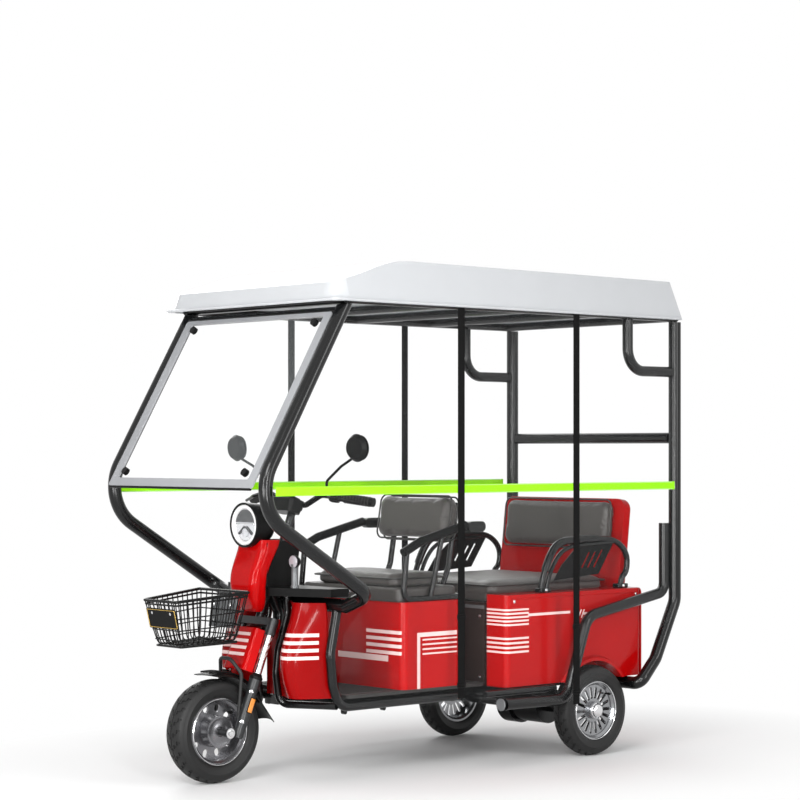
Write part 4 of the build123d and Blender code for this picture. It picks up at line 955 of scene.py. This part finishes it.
class TRICYCLE_OT_signals(bpy.types.Operator):
    """Turn signals on short posts, and the facets of the tail lamps"""

    bl_idname = "tricycle.signals"
    bl_label = "Signals"

    def execute(self, context):
        low, high = box_of("turn_signals")
        x = high.x - 0.017
        axis_y = behind(0.254)
        foot = turned(
            [(0.0155, 0.0), (0.0155, 0.006), (0.0130, 0.010), (0.0130, 0.074), (0.0150, 0.080),
             (0.0150, 0.086), (0.012, 0.090)],
            Vector((x, axis_y, low.z)), upward, 32,
        )
        center = Vector((x, axis_y + 0.010, high.z - 0.017))
        shell = turned(
            [(0.008, -0.010), (0.015, -0.006), (0.021, 0.003), (0.025, 0.012), (0.025, 0.0165),
             (0.023, 0.0175)],
            center, forward, 40,
        )
        lens = turned(
            [(0.023, 0.0172), (0.0225, 0.020), (0.020, 0.0222), (0.015, 0.0236),
             (0.003, 0.0241)],
            center, forward, 40,
        )
        left = [painted(foot, "bracket_grey"), painted(shell, "moulded_black"),
                painted(lens, "grey_lens")]
        settle(both_sides(left), "signal_lamps", "frame", ["turn_signals"])
        self.tail_detail()
        return {"FINISHED"}

    def tail_detail(self):
        """Two ribs, a clear window and an amber one on each tail lamp."""
        low, high = box_of("tail_lamps")
        face = high.y
        x = high.x - TAIL_LAMP_WIDTH / 2
        middle = (low.z + high.z) / 2
        parts = []
        for rise, share, size, edge, finish in (
            (-0.026, 0.94, (0.0022, 0.003), 0.0008, "moulded_black"),
            (0.026, 0.94, (0.0022, 0.003), 0.0008, "moulded_black"),
            (0.0, 0.86, (0.0024, 0.040), 0.0010, "clear_lens"),
            (0.048, 0.86, (0.0024, 0.032), 0.0010, "amber_lens"),
        ):
            facet = block((x, face + 0.0008, middle + rise), (TAIL_LAMP_WIDTH * share, *size),
                          edge)
            parts.append(painted(facet, finish))
        settle(both_sides(parts), "tail_lamp_windows", "frame")


# ---------------------------------------------------------------- cushions
SEAM_INSET = 0.005
# How the cover of a cushion stretches and bends while it is filled.
FILLING = dict(use_pressure=True, uniform_pressure_force=4.0, tension_stiffness=12,
               compression_stiffness=12, shear_stiffness=6, bending_stiffness=0.6, quality=5)
FILLING_STEPS = 20


def rounded_loop(center, u, v, half_u, half_v, corner):
    """Points for a closed line round a rectangle with round corners, in the plane of u and v."""
    center, u, v = Vector(center), Vector(u).normalized(), Vector(v).normalized()
    pull = corner * 0.42
    points = []
    for su, sv, flip in ((1, 1, False), (-1, 1, True), (-1, -1, False), (1, -1, True)):
        near = [
            (su * half_u, sv * (half_v - corner)), (su * half_u, sv * (half_v - pull)),
            (su * (half_u - pull), sv * half_v), (su * (half_u - corner), sv * half_v),
        ]
        for a, b in (reversed(near) if flip else near):
            points.append(center + u * a + v * b)
    return points


def puffed(node, cap, voxel=0.006):
    """A filled cushion: the frame's solid, drawn in a little, then blown up as cloth."""
    low, high = box_of(node)
    size = high - low
    hold(frame["nodes"][node])
    bpy.ops.object.duplicate()
    piece = bpy.context.object
    piece.parent = None
    edit_all(piece)
    bpy.ops.mesh.remove_doubles(threshold=0.00002)
    share = [(length - 2 * SEAM_INSET) / length for length in size]
    bpy.ops.transform.resize(value=share, center_override=(low + high) / 2)
    leave_edit()
    modify(piece, "REMESH", mode="VOXEL", voxel_size=voxel)
    fill_with_air(piece, cap)
    return modify(piece, "SUBSURF", levels=1, render_levels=1)


def fill_with_air(piece, cap):
    """Blow a cushion up as cloth, and let no point of it move further than a cap."""
    before = [vertex.co.copy() for vertex in piece.data.vertices]
    hold(piece)
    cloth = piece.modifiers.new("filling", "CLOTH")
    for key, value in FILLING.items():
        setattr(cloth.settings, key, value)
    cloth.settings.effector_weights.gravity = 0
    cloth.collision_settings.use_collision = False
    for step in range(FILLING_STEPS):
        bpy.context.scene.frame_set(step + 1)
    bpy.ops.object.modifier_apply(modifier=cloth.name)
    for vertex, start in zip(piece.data.vertices, before):
        move = vertex.co - start
        if move.length > cap:
            vertex.co = start + move.normalized() * cap
    bpy.context.scene.frame_set(1)


def flattened(piece, point, normal):
    """Press what bulges through a plane back onto it."""
    point, normal = Vector(point), Vector(normal).normalized()
    for vertex in piece.data.vertices:
        out = (vertex.co - point).dot(normal)
        if out > 0:
            vertex.co -= normal * out
    return piece


class TRICYCLE_OT_cushions(bpy.types.Operator):
    """Four filled cushions with piping"""

    bl_idname = "tricycle.cushions"
    bl_label = "Cushions"

    def execute(self, context):
        self.seat("driver_cushion", 0.046, 0.006)
        self.seat("rear_cushion", 0.040, 0.008)
        self.back("driver_backrest", 9.8, 0.062, (0.420, 0.176), 0.044, (0.28, -0.28))
        self.back("rear_backrest_cushion", 6.4, 0.044, (0.610, 0.204), 0.040, (0.30,))
        return {"FINISHED"}

    def covered(self, node, cushion, loops):
        """The cushion in its vinyl, with piping along each loop."""
        parts = [painted(cushion, "seat_vinyl")]
        parts += [edging(loop, sizes().piping, "piping_vinyl") for loop in loops]
        piece = settle(joined(parts), f"{node}_vinyl", "frame", [node], 60)

    def seat(self, node, corner, voxel):
        """A seat cushion that lies flat, with piping round its top edge."""
        low, high = box_of(node)
        middle = (low + high) / 2
        size = high - low
        cushion = flattened(puffed(node, 0.009, voxel), (0, 0, low.z + 0.0003), -upward)
        loop = rounded_loop((0, middle.y, high.z - 0.016), across, forward, size.x / 2 - 0.0025,
                            size.y / 2 - 0.0025, corner)
        self.covered(node, cushion, [loop])

    def back(self, node, lean, thick, size, corner, seams):
        """A backrest pad with its piping, leaning with the seat."""
        low, high = box_of(node)
        out = Vector((0, -cos(radians(lean)), sin(radians(lean))))
        loops = [
            rounded_loop((low + high) / 2 + out * thick * side, across, out.cross(across),
                         size[0] / 2 - 0.002, size[1] / 2 - 0.002, corner)
            for side in seams
        ]
        self.covered(node, puffed(node, 0.008), loops)


# ---------------------------------------------------------------- curtains
STRAP_WIDTH = 0.034
# Each strap: its distance and the height of its foot.
STRAPS = ((0.765, 0.290), (1.376, 0.222))
FILM_X = 0.496
FILM_STEP = 0.05
FILM_COLUMNS = 46
FILM_FRONT = -0.62
FILM_LENGTH = FILM_COLUMNS * FILM_STEP * 1.13
CURTAIN_TOP = 1.736
CURTAIN_FOOT = 0.232
POST_EDGE = 1.956
# Corners of the film, as distance and height, and how round the knee and the foot corners are.
TUBE_KNEE = (-0.176, 1.014)
FILM_HIP = (0.332, 0.692)
FOOT_CORNERS = (FILM_HIP, (0.200, 0.560), (0.170, 0.300), (1.400, CURTAIN_FOOT),
                (POST_EDGE, 0.540))
KNEE_RADIUS = 0.165
FOOT_RADII = (0.04, 0.04, 0.06)
# Points by which a cut shows which side of the film stays.
UPPER_INSIDE = (1.0, 1.2)
LOWER_INSIDE = (1.0, 0.5)
SCREEN_LEAN = radians(30.4)
TUBE_HEAD = TUBE_KNEE[0] + (CURTAIN_TOP - TUBE_KNEE[1]) * tan(SCREEN_LEAN)


def cut_away(piece, first, second, keep):
    """Cut a sheet along the line of two points, given as distance and height, and keep a side."""
    start, end = at(0, *first), at(0, *second)
    line = (end - start).normalized()
    way = line.cross(across)
    if (at(0, *keep) - start).dot(way) < 0:
        way = -way
    edit_all(piece)
    bpy.ops.mesh.bisect(plane_co=start, plane_no=way, clear_inner=True)
    leave_edit()
    return piece


def rounded(corner, before, after, radius, count):
    """Points round a corner between two neighbours, all as distance and height."""
    corner, before, after = (Vector(point) for point in (corner, before, after))
    u = (before - corner).normalized()
    v = (after - corner).normalized()
    half = u.angle(v) / 2
    middle = corner + (u + v).normalized() * radius / sin(half)
    first = corner + u * radius / tan(half) - middle
    last = corner + v * radius / tan(half) - middle
    return [middle + first.lerp(last, step / count).normalized() * radius
            for step in range(count + 1)]


def film_part(low_z, edge, high_z, keep):
    """A stretch of clear film between two heights, cut along its edge."""
    rows = round((high_z - low_z) / FILM_STEP)
    deselect()
    bpy.ops.mesh.primitive_grid_add(
        x_subdivisions=rows, y_subdivisions=FILM_COLUMNS, size=1, rotation=(0, pi / 2, 0),
        location=at(FILM_X, FILM_FRONT + FILM_LENGTH / 2, (low_z + high_z) / 2),
    )
    piece = bpy.context.object
    piece.scale = (high_z - low_z, FILM_LENGTH, 1)
    bpy.ops.object.transform_apply(location=True, rotation=True, scale=True)
    for first, second in zip(edge, edge[1:]):
        if abs(first[1] - second[1]) > 1e-4 or abs(first[0] - second[0]) < 1e-4:
            cut_away(piece, first, second, keep)
    return piece


class TRICYCLE_OT_curtains(bpy.types.Operator):
    """Clear side curtains with their lime bands and black straps"""

    bl_idname = "tricycle.curtains"
    bl_label = "Curtains"

    def execute(self, context):
        head = (TUBE_HEAD, CURTAIN_TOP)
        waist = (POST_EDGE, FILM_HIP[1])
        front = [head, *rounded(TUBE_KNEE, head, FILM_HIP, KNEE_RADIUS, 4), FILM_HIP]
        upper = film_part(FILM_HIP[1], [*front, waist, (POST_EDGE, CURTAIN_TOP)], CURTAIN_TOP,
                          UPPER_INSIDE)
        foot = [FILM_HIP]
        for before, corner, after, radius in zip(FOOT_CORNERS, FOOT_CORNERS[1:],
                                                 FOOT_CORNERS[2:], FOOT_RADII):
            foot += rounded(corner, before, after, radius, 2)
        lower = film_part(CURTAIN_FOOT - 0.01, [*foot, FOOT_CORNERS[-1], waist], FILM_HIP[1],
                          LOWER_INSIDE)
        left = joined([upper, lower])
        edit_all(left)
        bpy.ops.mesh.remove_doubles(threshold=0.0004)
        leave_edit()
        waves = bpy.data.textures.new("film_waves", "CLOUDS")
        waves.noise_scale = 0.28
        modify(left, "DISPLACE", texture=waves, texture_coords="LOCAL", direction="X",
               strength=sizes().film_wave * 2, mid_level=0.5)
        right = other_side(left)
        for film, side, sign in ((left, "left", 1), (right, "right", -1)):
            painted(film, "clear_film")
            settle(film, f"curtain_film_{side}", "frame", ["curtain_films"], 60)
            band = self.band(side, sign)
            straps = self.straps(side, sign)
        return {"FINISHED"}

    def band(self, side, sign):
        """A strip of lime tape along the inside of the film, sewn along both edges."""
        low, high = box_of("reflective_bands")
        x = sign * (FILM_X - 0.0013)
        middle = Vector((x, (low.y + high.y) / 2, (low.z + high.z) / 2))
        tape = block(middle, (0.0006, high.y - low.y - 0.012, high.z - low.z), 0.0002, segments=1)
        parts = [painted(tape, "lime_band")]
        for z in (low.z + 0.0022, high.z - 0.0022):
            thread = rod([(x - sign * 0.0003, low.y + 0.02, z), (x, high.y - 0.02, z)], 0.0006,
                         order=2, sides=1)
            parts.append(painted(thread, "pearl_white"))
        return settle(joined(parts), f"lime_band_{side}", "frame",
                      ["reflective_bands"])

    def straps(self, side, sign):
        """Two woven straps with two slider buckles and a loose tail at the foot of each."""
        x = sign * (FILM_X + 0.0017)
        parts = []
        for distance, foot in STRAPS:
            length = CURTAIN_TOP - foot
            middle = at(x, distance, foot + length / 2)
            web = block(middle, (0.0014, STRAP_WIDTH, length), 0.0005, segments=2)
            parts.append(painted(web, "strap_web"))
            for z in (foot + 0.05, foot + 0.30):
                loop = rounded_loop(at(x + sign * 0.0008, distance, z), forward, upward,
                                    STRAP_WIDTH / 2 + 0.003, 0.009, 0.004)
                parts.append(edging(loop, 0.0018, "moulded_black", 2))
                bar = block(at(x + sign * 0.002, distance, z), (0.002, STRAP_WIDTH, 0.005),
                            0.0008)
                parts.append(painted(bar, "moulded_black"))
            tail = block(at(x + sign * 0.0016, distance, foot + 0.175),
                         (0.0014, STRAP_WIDTH - 0.002, 0.24), 0.0005, segments=2)
            parts.append(painted(tail, "strap_web"))
        return settle(joined(parts), f"curtain_straps_{side}", "frame",
                      ["curtain_straps"])


# ---------------------------------------------------------------- basket and plate
# Front and back distance, front and back half width, front and back height.
BASKET_FOOT = (-0.196, 0.024, 0.074, 0.112, 0.506, 0.516)
BASKET_RIM = (-0.235, 0.050, 0.098, 0.150, 0.668, 0.694)
CORNER_SHARE = 0.10
LONG_WIRES = 9
CROSS_WIRES = 11


def basket_point(share, side, back):
    """A point on the basket at a share of its height; side and back run from -1 or 0 to 1."""
    front_at, back_at, front_half, back_half, front_z, back_z = (
        low + (high - low) * share for low, high in zip(BASKET_FOOT, BASKET_RIM)
    )
    half = front_half + (back_half - front_half) * back
    return at(side * half, front_at + (back_at - front_at) * back,
              front_z + (back_z - front_z) * back)


def basket_ring(share, radius):
    """A wire round the basket at a share of its height."""
    points = []
    for side, back in ((-1, 0), (1, 0), (1, 1), (-1, 1)):
        along = [(side, abs(back - CORNER_SHARE)), (side, back),
                 (side * (1 - CORNER_SHARE * 1.4), back)]
        if (side < 0) != (back == 0):
            along.reverse()
        points += [basket_point(share, *spot) for spot in along]
    return rod(points, radius, closed=True, sides=2, resolution=5)


class TRICYCLE_OT_basket(bpy.types.Operator):
    """Wire basket with its rims, floor and back bracket, and the border of the plate"""

    bl_idname = "tricycle.basket"
    bl_label = "Basket"

    def execute(self, context):
        thin = sizes().basket_wire
        wires = [basket_ring(share, radius) for share, radius in (
            (1.0, 0.0056), (0.92, 0.0036), (0.0, 0.0044), (0.14, thin), (0.36, thin), (0.62, thin)
        )]
        for step in range(LONG_WIRES):
            side = -0.94 + 1.88 * step / (LONG_WIRES - 1)
            wires.append(self.hoop([(1, side, 0), (0, side, 0), (0, side, 1), (1, side, 1)], thin))
        for step in range(CROSS_WIRES):
            back = 0.05 + 0.90 * step / (CROSS_WIRES - 1)
            wires.append(self.hoop([(1, -1, back), (0, -1, back), (0, 1, back), (1, 1, back)],
                                   thin))
        wires = [painted(wire, "wire_coat") for wire in wires]
        settle(joined(wires), "basket_wires", "frame", ["basket"])
        self.bracket()
        self.plate_line()
        return {"FINISHED"}

    def hoop(self, corners, radius):
        """One bent wire down a wall, across the floor and up the other wall."""
        a, b, c, d = (basket_point(*corner) for corner in corners)
        pull = 0.12
        points = [a, a.lerp(b, 1 - pull), b.lerp(c, pull * 0.6), c.lerp(b, pull * 0.6),
                  d.lerp(c, 1 - pull), d]
        return rod(points, radius, sides=1, resolution=4)

    def bracket(self):
        """The grey plate behind the basket, with its four screws."""
        middle = basket_point(0.55, 0, 1)
        tilt = atan2(BASKET_RIM[1] - BASKET_FOOT[1], BASKET_RIM[5] - BASKET_FOOT[5])
        back = block(middle + Vector((0, 0.006, 0)), (0.150, 0.0030, 0.105), 0.0012,
                     (-tilt, 0, 0))
        places = [middle + Vector((x, 0.002, z)) for x in (-0.05, 0.05) for z in (0.03, -0.03)]
        parts = [painted(back, "bracket_grey"), *screws(places, forward, 0.0045, 0.003)]
        settle(joined(parts), "basket_bracket", "frame")

    def plate_line(self):
        """A thin gilt border and two screws on the blank plate."""
        low, high = box_of("number_plate")
        lean = atan2(BASKET_FOOT[0] - BASKET_RIM[0],
                     BASKET_RIM[4] - BASKET_FOOT[4])
        out = Vector((0, -cos(lean), -sin(lean)))
        up = Vector((0, -sin(lean), cos(lean)))
        middle = (low + high) / 2 + out * 0.0024
        loop = rounded_loop(middle, across, up, 0.0825, 0.0325, 0.005)
        row = middle + up * 0.020 - out * 0.0008
        places = [row + across * side for side in (-0.055, 0.055)]
        parts = [edging(loop, 0.0011, "gold_line", 1), *screws(places, out, 0.003, 0.002)]
        settle(joined(parts), "plate_border", "frame")


# ---------------------------------------------------------------- armrests of the rear bench
ARMREST_TUBE = 0.012
# Lines of the left armrest, as distance and height.
SLEEVE_LINE = [(1.334, 0.735), (1.356, 0.785), (1.405, 0.843), (1.50, 0.852), (1.62, 0.852)]
HOOP_BACK = [(1.735, 0.846), (1.806, 0.790), (1.804, 0.715), (1.768, 0.690)]
INNER_LINE = [(1.350, 0.700), (1.392, 0.776), (1.45, 0.820), (1.53, 0.829), (1.64, 0.832),
              (1.72, 0.838)]
PANEL_OUTLINE = [(1.383, 0.694), (1.426, 0.752), (1.50, 0.812), (1.607, 0.835),
                 (1.722, 0.832), (1.636, 0.711)]
PANEL_SLOTS = (((1.541, 0.738), (1.585, 0.800)), ((1.575, 0.738), (1.619, 0.800)),
               ((1.609, 0.738), (1.659, 0.808)))


def trimmed(piece, outline):
    """Cut a flat upright piece to a convex outline, its corners by distance and height."""
    edit_all(piece)
    for first, second in zip(outline, outline[1:] + outline[:1]):
        edge = at(0, *second) - at(0, *first)
        bpy.ops.mesh.select_all(action="SELECT")
        bpy.ops.mesh.bisect(plane_co=at(0, *first), plane_no=across.cross(edge),
                            use_fill=True, clear_outer=True)
    leave_edit()
    return piece


class TRICYCLE_OT_armrests(bpy.types.Operator):
    """Hoops of the rear armrests, with a sleeve, an inner hoop and a slotted side plate"""

    bl_idname = "tricycle.armrests"
    bl_label = "Rear armrests"

    def execute(self, context):
        low, high = box_of("rear_armrests")
        x = high.x - ARMREST_TUBE
        foot = low.z
        hoop = [(1.311, foot), (1.316, 0.690), *SLEEVE_LINE, *HOOP_BACK, (1.765, foot)]
        inner = [(1.338, foot), *INNER_LINE]
        parts = []
        for line, radius in ((hoop, 0.0118), (SLEEVE_LINE, 0.0155), (inner, 0.0085)):
            points = [at(x, *point) for point in line]
            parts.append(painted(rod(points, radius, sides=4, resolution=12), "powder_coat"))
        for distance in (1.3235, 1.7655):
            middle = at(x, distance, foot + 0.009)
            parts.append(painted(block(middle, (0.036, 0.056, 0.018), 0.004), "powder_coat"))
            parts += screws([middle + across * 0.018], across, 0.004, 0.003, "reflector_silver")
        panel = block(at(x, 1.55, 0.765), (0.0044, 0.38, 0.17), 0.0004, segments=1)
        panel = trimmed(panel, PANEL_OUTLINE)
        for start, end in PANEL_SLOTS:
            slot = rod([at(x, *start), at(x, *end)], 0.0055, order=2)
            modify(panel, "BOOLEAN", operation="DIFFERENCE", object=slot, solver="EXACT")
            bpy.data.objects.remove(slot)
        parts.append(painted(panel, "moulded_black"))
        settle(both_sides(parts), "rear_armrest_hoops", "frame",
               ["rear_armrests"])
        return {"FINISHED"}


# ---------------------------------------------------------------- body details
WING_FACE = 0.4102
LOOP_SIDE = 0.448


class TRICYCLE_OT_body_trim(bpy.types.Operator):
    """Trim strips, panel seams, reflectors and the ribs of the floor mat"""

    bl_idname = "tricycle.body_trim"
    bl_label = "Body trim"

    def execute(self, context):
        self.bench_front()
        self.floor_mat()
        self.lid_detail()
        self.loop_caps()
        self.wing_line()
        self.back_shell()
        self.panel_seams()
        self.screen_foot()
        return {"FINISHED"}

    def bench_front(self):
        """A pale strip, slots and screws on the dark board under the bench."""
        face = box_of("rear_seat_base")[0].y
        strip = block((0, face - 0.0012, 0.5995), (0.574, 0.0024, 0.013), 0.001)
        parts = [painted(strip, "bracket_grey")]
        for row in range(5):
            for side in (-1, 1):
                slot = block((side * 0.12, face - 0.0008, 0.455 + row * 0.016),
                             (0.12, 0.0022, 0.006), 0.0008)
                parts.append(painted(slot, "moulded_black"))
        places = [(x, face - 0.0002, z) for x in (-0.262, 0.262) for z in (0.33, 0.565)]
        parts += screws(places, forward, 0.004, 0.003)
        settle(joined(parts), "bench_front_trim", "frame")

    def floor_mat(self):
        """Ribs across the floor, in front of the seat box and behind it."""
        low, high = box_of("footboard")
        parts = []
        for start, end, count, width in ((low.y + 0.035, behind(0.640), 16, 0.007),
                                         (behind(0.965), high.y - 0.02, 8, 0.006)):
            for step in range(count):
                y = start + (end - start) * step / (count - 1)
                rib = block((0, y, high.z + 0.0008), (0.50, width, 0.0026), 0.0010, segments=2)
                parts.append(painted(rib, "floor_mat"))
        settle(joined(parts), "floor_mat_ribs", "frame")

    def lid_detail(self):
        """A shut line and a lock on the lid of the seat box."""
        low, high = box_of("seat_lid")
        ring = rounded_loop(Vector((0, (low.y + high.y) / 2, low.z + 0.004)), across, forward,
                            (high.x - low.x) / 2 + 0.0006, (high.y - low.y) / 2 + 0.0006, 0.02)
        parts = [edging(ring, 0.0026, "piping_vinyl", 2)]
        barrel = turned(
            [(0.011, 0), (0.011, 0.003), (0.0095, 0.0042), (0.004, 0.0042), (0.0035, 0.003)],
            Vector((0, low.y - 0.0002, (low.z + high.z) / 2)), forward, 28,
        )
        parts.append(painted(barrel, "chrome_steel"))
        settle(joined(parts), "lid_edge", "frame")

    def loop_caps(self):
        """Grey reflector discs on the ends of the wheel loops."""
        parts = []
        for sign in (1, -1):
            disc = turned(
                [(0.0235, 0), (0.0235, 0.003), (0.0222, 0.0048), (0.0200, 0.0050),
                 (0.0192, 0.0042), (0.010, 0.0052), (0.004, 0.0055)],
                at(sign * LOOP_SIDE, 1.0185, 0.243), forward, 40,
            )
            parts.append(painted(disc, "bracket_grey"))
        settle(joined(parts), "loop_end_reflectors", "frame")

    def wing_line(self):
        """A raised line and two screws along the top of each rear wing."""
        x = WING_FACE
        line = rod([at(x, 1.11, 0.634), at(x + 0.0004, 1.45, 0.634), at(x, 1.81, 0.634)],
                   0.0022, sides=2)
        places = [at(x, distance, 0.625) for distance in (1.125, 1.81)]
        parts = [painted(line, "red_paint"), *screws(places, across, 0.0036, 0.0026)]
        settle(both_sides(parts), "wing_trim", "frame")

    def back_shell(self):
        """A raised rib on the back of the bench's backrest."""
        low, high = box_of("rear_backrest_shell")
        up = Vector((0, 0.112, 0.994))
        middle = Vector((0, high.y - 0.010, (low.z + high.z) / 2))
        loop = rounded_loop(middle, across, up, 0.29, 0.13, 0.05)
        settle(edging(loop, 0.0040, "red_paint"), "back_shell_rib", "frame")

    def panel_seams(self):
        """Rubber edging round the inner fascia."""
        low, high = box_of("inner_fascia")
        seam = rounded_loop(((low.x + high.x) / 2, low.y + 0.004, (low.z + high.z) / 2), across,
                            upward, (high.x - low.x) / 2 + 0.0008, (high.z - low.z) / 2 - 0.002,
                            0.012)
        settle(edging(seam, 0.0022, "moulded_black", 2), "fascia_seal", "frame")

    def screen_foot(self):
        """A black rubber lip along the foot of the windscreen."""
        low, high = box_of("windscreen_frame")
        ends = [(x, low.y + 0.004, low.z - 0.001) for x in (low.x + 0.01, 0, high.x - 0.01)]
        lip = painted(rod(ends, 0.0055, sides=3), "moulded_black")
        settle(lip, "screen_foot_lip", "frame")


class TRICYCLE_OT_roof_trim(bpy.types.Operator):
    """Rolled drip edge round the foot of the roof moulding"""

    bl_idname = "tricycle.roof_trim"
    bl_label = "Roof trim"

    def execute(self, context):
        low, high = box_of("roof_shell")
        middle = (low + high) / 2
        loop = rounded_loop((0, middle.y, low.z + 0.006), across, forward,
                            (high.x - low.x) / 2 - 0.001, (high.y - low.y) / 2 - 0.001, 0.03)
        settle(edging(loop, 0.005, "roof_white"), "roof_drip_edge", "frame")
        return {"FINISHED"}


# ---------------------------------------------------------------- cockpit and fork
BAR_TIP = (0.352, 0.4598, 1.014)
BAR_KNEE = (0.150, 0.3858, 1.040)
MIRROR_CENTER = (0.356, 0.380, 1.212)
LEG_SIDE = 0.090
FENDER_REACH = 0.2155
DISPLAY_LAMPS = ("amber_lens", "grey_lens", "clear_lens", "grey_lens", "amber_lens")


class TRICYCLE_OT_cockpit(bpy.types.Operator):
    """Instruments, switches, grip ribs and mirror glass on the handlebar"""

    bl_idname = "tricycle.cockpit"
    bl_label = "Cockpit"

    def execute(self, context):
        self.display()
        self.grips()
        self.mirror_glass()
        return {"FINISHED"}

    def display(self):
        """A dark display with a bezel, a row of lamps and a key lock, facing the rider."""
        low, high = box_of("instrument_pod")
        middle = (low + high) / 2
        out = steer_axis
        face = Vector((0, middle.y, high.z - 0.004))
        turn = (-atan2(out.y, out.z), 0, 0)
        size = high - low
        bezel = block(face, (size.x * 0.80, size.y * 0.62, 0.008), 0.003, turn)
        glass = block(face + out * 0.0036, (size.x * 0.70, size.y * 0.48, 0.003), 0.0012, turn)
        parts = [painted(bezel, "moulded_black"), painted(glass, "display_glass")]
        for step, colour in enumerate(DISPLAY_LAMPS):
            x = (step - 2) * size.x * 0.13
            lamp = turned([(0.0032, 0), (0.0032, 0.0012), (0.002, 0.0018)],
                          face + out * 0.0048 + Vector((x, -size.y * 0.14, 0)), out, 14)
            parts.append(painted(lamp, colour))
        key = turned([(0.012, 0), (0.012, 0.006), (0.010, 0.008), (0.004, 0.008), (0.004, 0.005)],
                     Vector((0.0, high.y - 0.006, low.z + size.z * 0.30)), Vector((0, 1, 0.4)), 24)
        parts.append(painted(key, "chrome_steel"))
        settle(joined(parts), "instrument_face", "steering")

    def grips(self):
        """Ring ribs on both grips, and switch blocks with their buttons."""
        tip = at(*BAR_TIP)
        inner = at(*BAR_KNEE)
        way = (inner - tip).normalized()
        parts = []
        for step in range(9):
            ring = turned([(0.0172, 0), (0.0188, 0.002), (0.0188, 0.005), (0.0172, 0.007)],
                          tip + way * (0.010 + 0.0125 * step), way, 24)
            parts.append(painted(ring, "tyre_rubber"))
        housing = turned([(0.016, 0), (0.021, 0.003), (0.022, 0.010), (0.022, 0.030),
                          (0.020, 0.036), (0.015, 0.038)], tip + way * 0.140, way, 28)
        parts.append(painted(housing, "moulded_black"))
        for step, colour in enumerate(("amber_lens", "red_lens", "grey_lens")):
            button = block(tip + way * (0.149 + 0.009 * step) + Vector((0, 0.010, 0.018)),
                           (0.006, 0.008, 0.006), 0.0016)
            parts.append(painted(button, colour))
        settle(both_sides(parts), "grip_details", "steering")

    def mirror_glass(self):
        """Silvered glass in both mirrors, facing the rider."""
        out = Vector((-0.08, 0.99, 0.06)).normalized()
        center = at(*MIRROR_CENTER)
        reach = box_of("mirrors")[1].y - center.y
        glass = turned([(0.0465, 0), (0.0465, 0.0010), (0.044, 0.0018), (0.020, 0.0022)],
                       center + out * (reach - 0.0035), out, 48)
        settle(both_sides([painted(glass, "mirror_glass")]), "mirror_glass", "steering")


class TRICYCLE_OT_fork_detail(bpy.types.Operator):
    """Seals, reflectors and bolts on the fork, and the ridges of the fender"""

    bl_idname = "tricycle.fork_detail"
    bl_label = "Fork detail"

    def execute(self, context):
        parts = []

        def on_leg(z):
            """A point on the axis of the left fork leg at a height."""
            share = (z - steer_foot.z) / steer_axis.z
            return steer_foot + steer_axis * share + across * LEG_SIDE

        seal = turned([(0.0215, 0), (0.0245, 0.002), (0.0245, 0.010), (0.021, 0.014),
                       (0.018, 0.022), (0.0165, 0.023)], on_leg(0.371), steer_axis, 32)
        parts.append(painted(seal, "moulded_black"))
        side_way = Vector((0.72, -0.69, 0)).normalized()
        rake = atan2(steer_axis.y, steer_axis.z)
        spot = on_leg(0.282) + across * 0.0205
        rim = block(spot, (0.005, 0.024, 0.058), 0.0022, (-rake, 0, 0))
        pad = block(spot + across * 0.0020, (0.005, 0.019, 0.052), 0.0022, (-rake, 0, 0))
        parts += [painted(rim, "moulded_black"), painted(pad, "amber_lens")]
        parts += screws([front_hub + across * 0.1041], across, 0.011, 0.007)
        parts += screws([on_leg(z) + side_way * 0.0195 for z in (0.330, 0.225)], side_way,
                        0.0045, 0.003)
        settle(both_sides(parts), "fork_fittings", "steering")
        self.fender_ribs()
        return {"FINISHED"}

    def fender_ribs(self):
        """Five ridges along the top of the front fender."""
        parts = []
        for x in (-0.034, -0.017, 0.0, 0.017, 0.034):
            points = []
            for step in range(9):
                angle = radians(24 + 74 * step / 8)
                points.append(front_hub + Vector((x, FENDER_REACH * cos(angle),
                                                  FENDER_REACH * sin(angle))))
            parts.append(painted(rod(points, 0.0034, sides=2), "moulded_black"))
        settle(joined(parts), "fender_ridges", "steering")


# ---------------------------------------------------------------- add-on
class TRICYCLE_PT_panel(bpy.types.Panel):
    """Lists the pieces of the tricycle"""

    bl_label = "Tricycle Detail"
    bl_space_type = "VIEW_3D"
    bl_region_type = "UI"
    bl_category = "Tricycle"

    def draw(self, context):
        for operator in operators:
            self.layout.operator(operator.bl_idname)


operators = (
    TRICYCLE_OT_stage,
    TRICYCLE_OT_finishes,
    TRICYCLE_OT_tyres,
    TRICYCLE_OT_hubs,
    TRICYCLE_OT_headlight,
    TRICYCLE_OT_signals,
    TRICYCLE_OT_cushions,
    TRICYCLE_OT_curtains,
    TRICYCLE_OT_basket,
    TRICYCLE_OT_armrests,
    TRICYCLE_OT_body_trim,
    TRICYCLE_OT_roof_trim,
    TRICYCLE_OT_cockpit,
    TRICYCLE_OT_fork_detail,
)
classes = (TricycleSizes, TricycleColours, *operators, TRICYCLE_PT_panel)


def register():
    for item in classes:
        bpy.utils.register_class(item)
    bpy.types.Scene.tricycle_sizes = bpy.props.PointerProperty(type=TricycleSizes)
    bpy.types.Scene.tricycle_colours = bpy.props.PointerProperty(type=TricycleColours)


def unregister():
    del bpy.types.Scene.tricycle_colours
    del bpy.types.Scene.tricycle_sizes
    for item in reversed(classes):
        bpy.utils.unregister_class(item)


def main():
    """Build every piece."""
    register()
    for operator in operators:
        group, name = operator.bl_idname.split(".")
        getattr(getattr(bpy.ops, group), name)()


if __name__ == "__main__":
    main()
